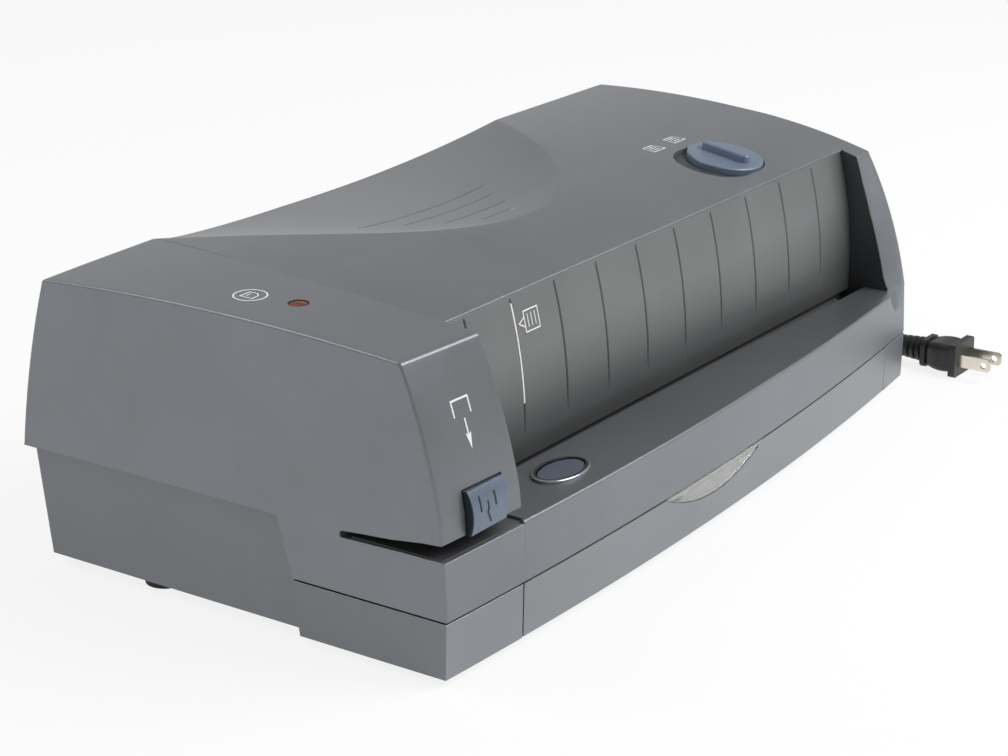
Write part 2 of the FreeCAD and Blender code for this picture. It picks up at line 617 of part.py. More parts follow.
# ================= stapler
def stapler_frame():
    """Folded steel guide in the head: two cheeks, a rear web and a shelf over the magazine."""
    x0, x1 = STAPLER_X - 12.2, STAPLER_X + 12.2
    cheeks = [block(x0, x0 + 1.2, 13, 165, 57.0, 98), block(x1 - 1.2, x1, 13, 165, 57.0, 98)]
    shelf = block(x0, x1, 22, 165, 72.4, 73.6)
    web = block(x0, x1, 163.8, 165, 72.4, 98)
    return fused(cheeks + [shelf, web])


def staple_magazine():
    """Open steel channel that slides out of the front of the head."""
    x0, x1 = STAPLER_X - 10.6, STAPLER_X + 10.6
    outer = block(x0, x1, 9.4, 150, 57.4, 70.6)
    inner = block(x0 + 1.2, x1 - 1.2, 0, 148.8, 58.6, 90)
    front = block(x0, x1, 9.4, 10.6, 57.4, 66)
    gate = block(STAPLER_X - 6.8, STAPLER_X + 6.8, 11.2, 12.9, 50, 60)
    return fused([outer.cut(inner), front]).cut(gate)


def staple_strip():
    """Stick of glued staples: a long inverted U."""
    x0, x1, z0 = STAPLER_X - 6.4, STAPLER_X + 6.4, 58.6
    stick = block(x0, x1, 13.5, 64, z0, z0 + 5.4)
    return stick.cut(block(x0 + 0.6, x1 - 0.6, 0, 80, z0 - 1, z0 + 4.8))


def staple_rail():
    """Rail inside the channel that the staples straddle."""
    return block(STAPLER_X - 5.5, STAPLER_X + 5.5, 13.5, 148.8, 58.6, 62.8)


def staple_pusher():
    """Block behind the staples that is pulled forward by its spring."""
    x0, x1 = STAPLER_X - 7.6, STAPLER_X + 7.6
    body = block(x0, x1, 64.3, 76, 58.9, 64.2)
    return body.cut(block(STAPLER_X - 5.8, STAPLER_X + 5.8, 60, 80, 50, 63.1))


def release_nose():
    """Push button on the magazine's front, with a face that bulges forward."""
    x0, x1 = BUTTON_X
    low, high = BUTTON_Z
    mid = (low + high) / 2
    profile = outline((6.6, low + 1.5), (-1.2, low), ((-2.2, mid), (0.8, high)), (6.6, high))
    nose = along_x(profile, x0, x1)
    return soften(nose, 1.2, lambda p: p.y < 2.0 and abs(p.x - (x0 + x1) / 2) > 8)


def nose_stem():
    """Fork of the push button. Its prongs slide over the magazine's front wall."""
    bar = block(STAPLER_X - 9.2, STAPLER_X + 9.2, 6.6, 8.4, 66.3, 69.0)
    middles = (STAPLER_X - 8, STAPLER_X + 8)
    prongs = [block(x - 1.2, x + 1.2, 8.3, 13.2, 66.3, 69.0) for x in middles]
    return fused([bar] + prongs)


def anvil_plate():
    """Steel plate in the throat's floor with the pocket that folds the staple's legs."""
    top = DECK_Z + 0.2
    plate = block(SKIN - 0.6, HEAD_X + 1.2, -FAR, THROAT_DEPTH - 4.3, DECK_Z - 1.4, top)
    plate = plate.common(behind_front((1.9, 0.0), (1.9, 90.0)))
    for s in (-1, 1):
        plate = plate.cut(rod(STAPLER_X + s * 3.6, STAPLE_Y, top + 2.3, 3.2, 1.6, Y_AXIS)
                          .translated(V(0, -0.8, 0)))
    return plate


def driver_blade():
    return block(STAPLER_X - 6.3, STAPLER_X + 6.3, STAPLE_Y - 0.3, STAPLE_Y + 0.3, 75.0, 90.0)


def driver_arm():
    return rounded_slab(STAPLER_X - 7.5, STAPLER_X + 7.5, STAPLE_Y - 0.8, 56, 90.0, 95.0, 0.7)


def driver_plunger():
    return rod(STAPLER_X, 46, 95.0, 5.0, 19, Z_AXIS)


def driver_solenoid():
    """Coil in a steel yoke that pulls the plunger and the blade down."""
    coil = rod(STAPLER_X, 46, 98.0, 13.0, 21, Z_AXIS)
    yoke = block(STAPLER_X - 12.2, STAPLER_X + 12.2, 34, 60, 98.0, 100.0)
    cap = block(STAPLER_X - 12.2, STAPLER_X + 12.2, 34, 60, 117.5, 119.5)
    return fused([coil, yoke, cap]).cut(rod(STAPLER_X, 46, 90, 5.08, 24.2, Z_AXIS))


# ================= electrics
def circuit_board():
    """Board with a capacitor, a relay and a few other tall components."""
    top = BOARD_Z + 1.6
    board = block(*BOARD_X, 112, 178, BOARD_Z, top)
    parts = [rod(300, 160, top, 8, 22, Z_AXIS), rod(280, 160, top, 5, 14, Z_AXIS),
             block(204, 226, 130, 140, top, 65), block(240, 255, 126, 156, top, 75),
             block(310, 322, 120, 150, top, 73)]
    return fused([board] + parts)


def at_stands(radius, z, height):
    """One upright rod at each of the circuit board's fixing points."""
    return group([rod(x, y, z, radius, height, Z_AXIS) for x in STAND_XS for y in STAND_YS])


def board_stands():
    return at_stands(3.5, STAND_Z, BOARD_Z - STAND_Z)


def board_screws():
    """Pan-head screws that hold the circuit board to its stands."""
    return at_stands(2.8, BOARD_Z + 1.6, 1.6)


def transformer_core():
    """Laminated iron core with two windows."""
    core = block(205, 263, 118, 166, 7.0, 55.0)
    for x in (215, 244):
        core = core.cut(block(x, x + 9, 110, 170, 17, 46))
    return core


def transformer_winding():
    """Winding round the core's middle limb, bulging out at the front and the back."""
    ring = rounded_slab(215.5, 252.5, 108, 176, 17.5, 45.5, 4.0)
    return ring.cut(block(224, 244, 118, 166, 0, 60))


# ================= controls
def mode_selector():
    """Sliding disc with a raised finger ridge and a stem through the cover."""
    disc = rod(0, 0, -2.1, SELECTOR_R, 3.0, Z_AXIS)
    disc = soften(disc, 0.8, lambda p: p.z > 0.5)
    ridge = rounded_slab(-2.6, 2.6, -12.5, 12.5, 0.5, 4.6, 2.2)
    ridge = soften(ridge, 1.0, lambda p: p.z > 4.5)
    stem = rod(0, 0, -9.0, 3.2, 8, Z_AXIS)
    return on_top(fused([disc, ridge, stem]))


def selector_carrier():
    """Flat slider clipped to the selector's stem under the cover."""
    slider = rounded_slab(-14, 14, -9, 9, -8.2, -5.4, 3.0)
    return on_top(slider.cut(rod(0, 0, -12, 3.2, 12, Z_AXIS)))


def oval_bezel():
    """Ring round the oval button, with a skirt through the ledge."""
    outer = oval(0.0, LEDGE_Z, LEDGE_Z + 1.3)
    outer = outer.makeFillet(0.7, [e for e in outer.Edges if e.CenterOfMass.z > LEDGE_Z + 1.2])
    return fused([outer, oval(1.05, LEDGE_Z - 4, LEDGE_Z + 1)]).cut(oval(2.0, 40, 60))


def oval_button():
    body = oval(2.3, LEDGE_Z - 6, LEDGE_Z + 0.9)
    return body.makeFillet(0.8, [e for e in body.Edges if e.CenterOfMass.z > LEDGE_Z + 0.8])


def lamp_lens():
    lens = rod(LAMP[0], LAMP[1], 120.5, LAMP_R, 5.6, Z_AXIS)
    return lens.makeFillet(1.0, [e for e in lens.Edges if e.CenterOfMass.z > 126.0])


# ================= power cord
def cord_gland():
    """Ribbed strain relief pressed into the base's rear wall."""
    seat, end = GLAND_SEAT_Y, TAIL_ROUTE[0][1]
    sleeve = rod(GLAND_X, seat - 5.2, GLAND_Z, GLAND_R, 6, Y_AXIS)
    collar = rod(GLAND_X, seat, GLAND_Z, 8.0, 3, Y_AXIS)
    taper = Part.makeCone(6.0, 4.2, end - seat - 1.8, V(GLAND_X, seat + 1.8, GLAND_Z), Y_AXIS)
    ribs = [rod(GLAND_X, seat + 4.6 + 3.8 * i, GLAND_Z, 6.4 - 0.4 * i, 2.0, Y_AXIS) for i in range(4)]
    return fused([sleeve, collar, taper] + ribs)


def tube(points):
    """Round cord along straight runs joined by tangent arcs."""
    points = [V(*p) for p in points]
    edges, last = [], points[0]
    for a, b, c in zip(points, points[1:], points[2:]):
        into, out = (b - a).normalize(), (c - b).normalize()
        turn = into.getAngle(out)
        reach = 0.45 * min((b - a).Length, (c - b).Length)
        radius = reach / math.tan(turn / 2)
        first, second = b - into * reach, b + out * reach
        middle = b + (out - into).normalize() * (radius / math.cos(turn / 2) - radius)
        edges += [Part.makeLine(last, first), Part.Arc(first, middle, second).toShape()]
        last = second
    edges.append(Part.makeLine(last, points[-1]))
    path = Part.Wire(edges)
    start = (points[1] - points[0]).normalize()
    circle = Part.Wire(Part.makeCircle(CORD_R, points[0], start))
    return path.makePipeShell([circle], True, False)


def cord_coil():
    """Outer form of the wound-up length, lying on the table."""
    x, y = COIL_CENTRE
    ring = rod(x, y, 0, COIL_OUTER, COIL_HEIGHT, Z_AXIS)
    ring = ring.makeFillet(3.0, [e for e in ring.Edges if e.Closed])
    hole = rod(x, y, -1, COIL_INNER, COIL_HEIGHT + 2, Z_AXIS)
    return ring.cut(hole)


def plug_section(y, half_x, half_z, radius):
    slab = block(PLUG_X - half_x, PLUG_X + half_x, y, y + 1, PLUG_Z - half_z, PLUG_Z + half_z)
    slab = slab.makeFillet(radius, [e for e in slab.Edges if e.BoundBox.YLength > 0.9])
    return [f for f in slab.Faces if abs(f.CenterOfMass.y - y) < 0.01][0].OuterWire


def plug_body():
    """Moulded two-pin plug: face flange, swelling grip, collar and ribbed strain relief."""
    y = PLUG_FACE_Y
    flange = block(PLUG_X - 11, PLUG_X + 11, y, y + 3.6, PLUG_Z - 8.3, PLUG_Z + 8.3)
    flange = flange.makeFillet(1.6, [e for e in flange.Edges if e.BoundBox.YLength > 3.5])
    grip = Part.makeLoft([plug_section(y + 3.0, 8.4, 6.6, 3.0), plug_section(y + 9.0, 9.6, 7.2, 3.4),
                          plug_section(y + 18.5, 6.6, 5.8, 3.0)], True, False)
    collar = block(PLUG_X - 8, PLUG_X + 8, y + 18, y + 20.6, PLUG_Z - 7, PLUG_Z + 7)
    collar = collar.makeFillet(3.0, [e for e in collar.Edges if e.BoundBox.YLength > 2.5])
    relief = Part.makeCone(4.9, 3.7, 25.4, V(PLUG_X, y + 20.6, PLUG_Z), Y_AXIS)
    ribs = [rod(PLUG_X, y + 22.4 + 3.4 * i, PLUG_Z, 6.2 - 0.25 * i, 1.7, Y_AXIS) for i in range(7)]
    return fused([flange, grip, collar, relief] + ribs)


def plug_blades():
    blades = []
    for s in (-1, 1):
        x = PLUG_X + s * 6.35
        blade = block(x - 0.75, x + 0.75, PLUG_FACE_Y - 17, PLUG_FACE_Y, PLUG_Z - 3.2, PLUG_Z + 3.2)
        blade = blade.makeChamfer(1.2, [e for e in blade.Edges if e.BoundBox.XLength > 1.4
                                        and abs(e.CenterOfMass.y - PLUG_FACE_Y + 17) < 0.01])
        blades.append(blade.cut(rod(x - 3, PLUG_FACE_Y - 13.4, PLUG_Z, 1.75, 6, X_AXIS)))
    return group(blades)


def cord_tail():
    return tube(TAIL_ROUTE)


def cord_lead():
    return tube(LEAD_ROUTE)


# ================= small springs and their seats
def driver_spring():
    """Spring that lifts the staple driver off the magazine's shelf."""
    return coil_spring(STAPLER_X, 32.0, 73.6, 4.5, 0.6, 16.4, 5)


def button_bracket():
    """Stirrup under the ledge that carries the oval button's spring."""
    x0, x1, y0, y1 = OVAL[0] - 17.5, OVAL[0] + 17.5, OVAL[1] - 4.5, OVAL[1] + 4.5
    floor = block(x0, x1, y0, y1, 34.0, 36.0)
    legs = [block(x, x + 2, y0, y1, 34.0, LEDGE_Z - SKIN) for x in (x0, x1 - 2)]
    return fused([floor] + legs)


def button_spring():
    return coil_spring(OVAL[0], OVAL[1], 36.0, 4.2, 0.8, 8.8, 3)


PIECES = (
    upper_cover, base, rubber_feet, paper_panel, anvil_plate, chip_tray, tray_window,
    punch_frame, bearing_bushes, die_plate, pin_guide, punch_pins, punch_bar,
    drive_shaft, drive_gear, motor_pinion, motor, motor_bracket,
    stapler_frame, staple_magazine, staple_rail, staple_strip, staple_pusher, release_nose, nose_stem,
    driver_blade, driver_arm, driver_plunger, driver_spring, driver_solenoid,
    circuit_board, board_stands, board_screws, transformer_core, transformer_winding,
    mode_selector, selector_carrier, oval_bezel, oval_button, button_bracket, button_spring, lamp_lens,
    cord_gland, cord_tail, cord_coil, cord_lead, plug_body, plug_blades,
)


def main():
    os.makedirs("parts", exist_ok=True)
    for piece in PIECES:
        save(piece.__name__, piece())


main()
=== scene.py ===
"""Desk-top electric hole punch with a stapler head, dressed for rendering.

Places are given in millimetres in the machine's own axes: x from its left end, y back from its
front and z up from the table. to_row() turns them into the frame's metres.
"""

import json
import logging
import math
from collections.abc import Callable
from dataclasses import dataclass, field
from enum import Enum

import bmesh
import bpy
import numpy as np
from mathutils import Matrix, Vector


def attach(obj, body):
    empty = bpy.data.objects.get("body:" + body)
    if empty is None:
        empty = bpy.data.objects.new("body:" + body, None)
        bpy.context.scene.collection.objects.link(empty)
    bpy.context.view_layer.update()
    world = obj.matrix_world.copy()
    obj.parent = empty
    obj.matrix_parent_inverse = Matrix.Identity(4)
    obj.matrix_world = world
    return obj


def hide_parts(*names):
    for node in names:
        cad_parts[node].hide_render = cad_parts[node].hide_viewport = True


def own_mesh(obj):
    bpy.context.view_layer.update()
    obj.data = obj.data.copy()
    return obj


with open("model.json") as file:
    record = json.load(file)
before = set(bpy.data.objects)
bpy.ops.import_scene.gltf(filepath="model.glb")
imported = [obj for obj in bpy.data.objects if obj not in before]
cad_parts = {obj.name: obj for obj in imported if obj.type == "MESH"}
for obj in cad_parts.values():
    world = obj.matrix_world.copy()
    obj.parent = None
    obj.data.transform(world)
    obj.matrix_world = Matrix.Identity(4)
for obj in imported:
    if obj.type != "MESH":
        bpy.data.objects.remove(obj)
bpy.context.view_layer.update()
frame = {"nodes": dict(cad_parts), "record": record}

log = logging.getLogger("punch")
Points = np.ndarray
Piece = bpy.types.Object
Colour = tuple[float, float, float]
Pair = tuple[float, float]
Run = tuple[Points, float]
Rule = Callable[[Points, Points], Points]
Height = Callable[[Points], Points]
Mover = Callable[[Points], Points]
OnSurface = Callable[[Points, Points, float], Points]
Shaper = Callable[[Points, Points, Points, Points], tuple[Points, Points, Points]]

LENGTH = 406.6
CENTRE = np.array([LENGTH / 2, 103.9, 0.0])
FLAT_AREA = 6e-4
SHARP_ANGLE = 32.0
WELD = 1e-6
TINY = 1e-9
Y, Z, FOLLOW, LEFT, RIGHT, PART = range(6)


class Part(Enum):
    """Which surface of the cover a point of an outline lies on."""

    OTHER = 0
    TOP = 1
    REAR = 2
    INSIDE = 3
    WALL = 4


class End(Enum):
    """Which end of a moulding is rounded."""

    LEFT = "left"
    RIGHT = "right"


def to_row(points: Points) -> Points:
    """Machine millimetres, with x, y and z on the last axis, to the frame's metres."""
    return (np.asarray(points, float) - CENTRE) / 1000.0


# ---------------------------------------------------------------- mesh helpers
def linked(name: str, data: bpy.types.ID) -> Piece:
    """Make an object at the origin and put it in the scene.

    Args:
        name: Object name.
        data: Its mesh, curve, camera or light.

    Returns:
        The object.
    """
    made = bpy.data.objects.new(name, data)
    bpy.context.scene.collection.objects.link(made)
    return made


def dress(piece: Piece, material: bpy.types.Material) -> None:
    """Give a piece one material."""
    piece.data.materials.clear()
    piece.data.materials.append(material)


def settle(piece: Piece, body: str, slot: str, *nodes: str) -> Piece:
    """Attach a piece to the body that it moves with and hide the CAD nodes that it replaces.

    Args:
        piece: The piece.
        body: Body that it rides on.
        slot: The record's material slot; not used.
        nodes: CAD nodes that it replaces.

    Returns:
        The same piece.
    """
    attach(piece, body)
    if nodes:
        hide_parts(*nodes)
    return piece


def add_mesh(name: str, points: Points, faces: list, smooth: bool = True) -> Piece:
    """Make an object from machine-millimetre points and faces.

    Args:
        name: Piece name.
        points: (n, 3) array.
        faces: Vertex index lists.
        smooth: Whether faces are shaded smooth.

    Returns:
        The new object, at the origin.
    """
    mesh = bpy.data.meshes.new(name)
    mesh.from_pydata(to_row(points).tolist(), [], faces)
    mesh.validate()
    mesh.polygons.foreach_set("use_smooth", [smooth] * len(mesh.polygons))
    return linked(name, mesh)


def grid_faces(rows: int, columns: int, close: bool = True) -> list:
    """Quads of a grid whose columns may wrap round.

    Args:
        rows: Number of rings.
        columns: Points in a ring.
        close: Whether the last column joins the first.

    Returns:
        Quads as index lists.
    """
    across = np.arange(columns if close else columns - 1)
    r, c = np.meshgrid(np.arange(rows - 1), across, indexing="ij")
    here, following = r * columns, (c + 1) % columns
    above = here + columns
    return np.stack([here + c, here + following, above + following, above + c],
                    axis=-1).reshape(-1, 4).tolist()


def caps(rows: int, columns: int) -> list:
    """End faces of a grid of closed rings."""
    last = (rows - 1) * columns
    return [list(range(columns)), list(range(last, last + columns))[::-1]]


def face_outwards(mesh: bpy.types.Mesh, weld: float = 0.0) -> None:
    """Point a closed mesh's faces outwards.

    Args:
        mesh: The mesh.
        weld: Distance under which vertices are merged first.
    """
    shell = bmesh.new()
    shell.from_mesh(mesh)
    if weld:
        bmesh.ops.remove_doubles(shell, verts=shell.verts, dist=weld)
    bmesh.ops.recalc_face_normals(shell, faces=shell.faces)
    shell.to_mesh(mesh)
    shell.free()


def finish_mesh(piece: Piece) -> Piece:
    """Point the faces outwards, mark the sharp edges and keep flat faces flat.

    Args:
        piece: Closed mesh object.

    Returns:
        The same object.
    """
    mesh = piece.data
    face_outwards(mesh, WELD)
    area = np.empty(len(mesh.polygons))
    mesh.polygons.foreach_get("area", area)
    mesh.polygons.foreach_set("use_smooth", area < FLAT_AREA)
    mesh.set_sharp_from_angle(angle=math.radians(SHARP_ANGLE))
    piece.modifiers.new("keep flat faces flat", "WEIGHTED_NORMAL").keep_sharp = True
    return piece


def carve(piece: Piece, cutters: list[Piece]) -> Piece:
    """Cut solids out of a piece and throw the cutters away.

    Args:
        piece: Object that is cut.
        cutters: Closed solids.

    Returns:
        The cut piece, its mesh replaced.
    """
    piece.modifiers.clear()
    for cutter in cutters:
        cut = piece.modifiers.new("cut", "BOOLEAN")
        cut.operation, cut.solver, cut.object = "DIFFERENCE", "EXACT", cutter
    bpy.context.view_layer.update()
    evaluated = piece.evaluated_get(bpy.context.evaluated_depsgraph_get())
    mesh = bpy.data.meshes.new_from_object(evaluated)
    piece.modifiers.clear()
    piece.data = mesh
    for cutter in cutters:
        bpy.data.objects.remove(cutter)
    return finish_mesh(piece)


def darken(piece: Piece, rule: Rule) -> Piece:
    """Store how far each face is darkened: mostly painted shade of recesses and shaded sides, and
    the lamp's dark rim.

    Args:
        piece: Mesh object.
        rule: Function of the face centres in machine millimetres and of their normals that
            returns a share from 0 to 1 for each face.

    Returns:
        The same object.
    """
    faces, attributes = piece.data.polygons, piece.data.attributes
    centres, normals = np.empty(len(faces) * 3), np.empty(len(faces) * 3)
    faces.foreach_get("center", centres)
    faces.foreach_get("normal", normals)
    share = rule(centres.reshape(-1, 3) * 1000.0 + CENTRE, normals.reshape(-1, 3))
    layer = attributes.get("shade") or attributes.new("shade", "FLOAT", "FACE")
    layer.data.foreach_set("value", np.asarray(share, np.float32))
    return piece


@dataclass(frozen=True)
class Facing:
    """Rule that paints shade on the faces that look one way and lie above a height."""

    axis: int
    sign: float
    limit: float
    share: float
    above: float = -1.0

    def __call__(self, centres: Points, normals: Points) -> Points:
        """Share for each face."""
        turned = self.sign * normals[:, self.axis] > self.limit
        return self.share * turned * (centres[:, 2] > self.above)


@dataclass(frozen=True)
class Even:
    """Rule that paints the same shade on all faces."""

    share: float

    def __call__(self, centres: Points, normals: Points) -> Points:
        """Share for each face."""
        return np.full(len(centres), self.share)


# ---------------------------------------------------------------- lines and outlines
def circle_through(a: Points, b: Points, c: Points) -> tuple[Points, float]:
    """Centre and radius of the circle through three points.

    The centre is where the perpendicular bisectors of the two chords from a meet.

    Args:
        a: First point.
        b: Second point.
        c: Third point.

    Returns:
        Centre and radius.
    """
    centre = np.linalg.solve(2 * np.array([b - a, c - a]), [b @ b - a @ a, c @ c - a @ a])
    return centre, np.linalg.norm(a - centre)


def arc(start: Pair, middle: Pair, end: Pair, count: int) -> Points:
    """Circular arc through three points, with its points spread evenly in angle.

    Args:
        start: First point.
        middle: A point on the way.
        end: Last point.
        count: Number of points.

    Returns:
        (count, 2) array.
    """
    places = [np.array(p, float) for p in (start, middle, end)]
    centre, radius = circle_through(*places)
    first, mid, last = (math.atan2(*(p - centre)[::-1]) for p in places)
    turn = (last - first) % (2 * math.pi)
    if (mid - first) % (2 * math.pi) > turn:
        turn -= 2 * math.pi
    t = first + np.linspace(0, 1, count) * turn
    return centre + radius * np.stack([np.cos(t), np.sin(t)], axis=1)


def on_circle(a: Pair, b: Pair, c: Pair, u: Points) -> Points:
    """Second coordinate of the upper side of the circle through three points.

    Args:
        a: First point.
        b: Second point.
        c: Third point.
        u: First coordinates.

    Returns:
        Second coordinate at each u.
    """
    centre, radius = circle_through(*(np.array(p, float) for p in (a, b, c)))
    return centre[1] + np.sqrt(np.maximum(radius ** 2 - (u - centre[0]) ** 2, 0.0))


def line(start: Pair, end: Pair, count: int = 2) -> Points:
    """Evenly spaced points on a straight run."""
    return np.linspace(np.array(start, float), np.array(end, float), count)


def trimmed(run: Points, cut_start: float, cut_end: float) -> Points:
    """A run shortened at its two ends, with as many points as before.

    Args:
        run: Points, with the place in the first two columns.
        cut_start: Length taken off its start.
        cut_end: Length taken off its end.

    Returns:
        The shorter run, with all columns.
    """
    steps = np.linalg.norm(np.diff(run[:, :2], axis=0), axis=1)
    s = np.concatenate([[0.0], np.cumsum(steps)])
    wanted = cut_start + (s / s[-1]) * (s[-1] - cut_start - cut_end)
    return np.stack([np.interp(wanted, s, column) for column in run.T], axis=1)


def joined(runs: list[Run], count: int = 5) -> Points:
    """Close runs into an outline, with each corner rounded.

    A corner of turning angle a and radius r takes r tan(a / 2) off both of its runs, and a
    parabola with the corner as its control point fills it.

    Args:
        runs: Pairs of a run and the radius of the corner at its end. A run's first two columns
            are its place, and the others are carried along. A corner belongs to the
            surface with the higher number.
        count: Points in a rounded corner.

    Returns:
        The outline's points, with all columns.
    """
    lines, radii = [r[0] for r in runs], [r[1] for r in runs]
    trims = []
    for run, after, radius in zip(lines, lines[1:] + lines[:1], radii):
        into, out = (run[-1] - run[-2])[:2], (after[1] - after[0])[:2]
        cosine = into @ out / (np.linalg.norm(into) * np.linalg.norm(out))
        trims.append(radius * math.tan(math.acos(float(np.clip(cosine, -1, 1))) / 2))
    short = [trimmed(run, before, trim)
             for run, before, trim in zip(lines, trims[-1:] + trims, trims)]
    parts = []
    t = np.linspace(0, 1, count + 2)[1:-1, None]
    for run, corner, after, trim in zip(short, lines, short[1:] + short[:1], trims):
        if trim < WELD:
            parts.append(run[:-1])
            continue
        bend = (1 - t) ** 2 * run[-1] + 2 * t * (1 - t) * corner[-1] + t ** 2 * after[0]
        bend[:, PART:] = np.maximum(run[-1], after[0])[PART:]
        parts += [run, bend]
    return np.concatenate(parts)


def unit(vectors: Points) -> Points:
    """Vectors of length one, along the last axis."""
    return vectors / np.maximum(np.linalg.norm(vectors, axis=-1, keepdims=True), TINY)


def inward(ring: Points) -> Points:
    """Unit normals of closed y-z outlines that point into them.

    At a point it is the mean of the directions of its two segments, turned a quarter to the side
    that the sign of the outline's area gives.

    Args:
        ring: (..., n, 2) array of outlines.

    Returns:
        Normals of the same shape.
    """
    ahead, behind = np.roll(ring, -1, axis=-2), np.roll(ring, 1, axis=-2)
    tangent = unit(unit(ring - behind) + unit(ahead - ring))
    normal = np.stack([-tangent[..., 1], tangent[..., 0]], axis=-1)
    area = np.sum(ring[..., 0] * ahead[..., 1] - ahead[..., 0] * ring[..., 1], axis=-1)
    return normal * np.sign(area)[..., None, None]


def stretch(points: Points, corner: float = 0.0, follow: Pair = (0.0, 0.0), left: float = 0.0,
            right: float = 0.0, part: Part = Part.OTHER) -> Run:
    """A run of an outline with what its points carry.

    Args:
        points: (n, 2) array of y and z.
        corner: Radius of the corner at its end.
        follow: How far its first and last point follow the bowed front.
        left: Rounding of its left end.
        right: Rounding of its right end.
        part: Surface that it lies on.

    Returns:
        The run with all its columns, and the corner radius.
    """
    n = len(points)
    columns = [points[:, 0], points[:, 1], np.linspace(*follow, n), np.full(n, left),
               np.full(n, right), np.full(n, float(part.value))]
    return np.stack(columns, axis=1), corner


def ramp(value: Points, start: float, span: float) -> Points:
    """Rise from 0 at start to 1 a span further on, and hold at both ends."""
    return np.clip((value - start) / span, 0, 1)


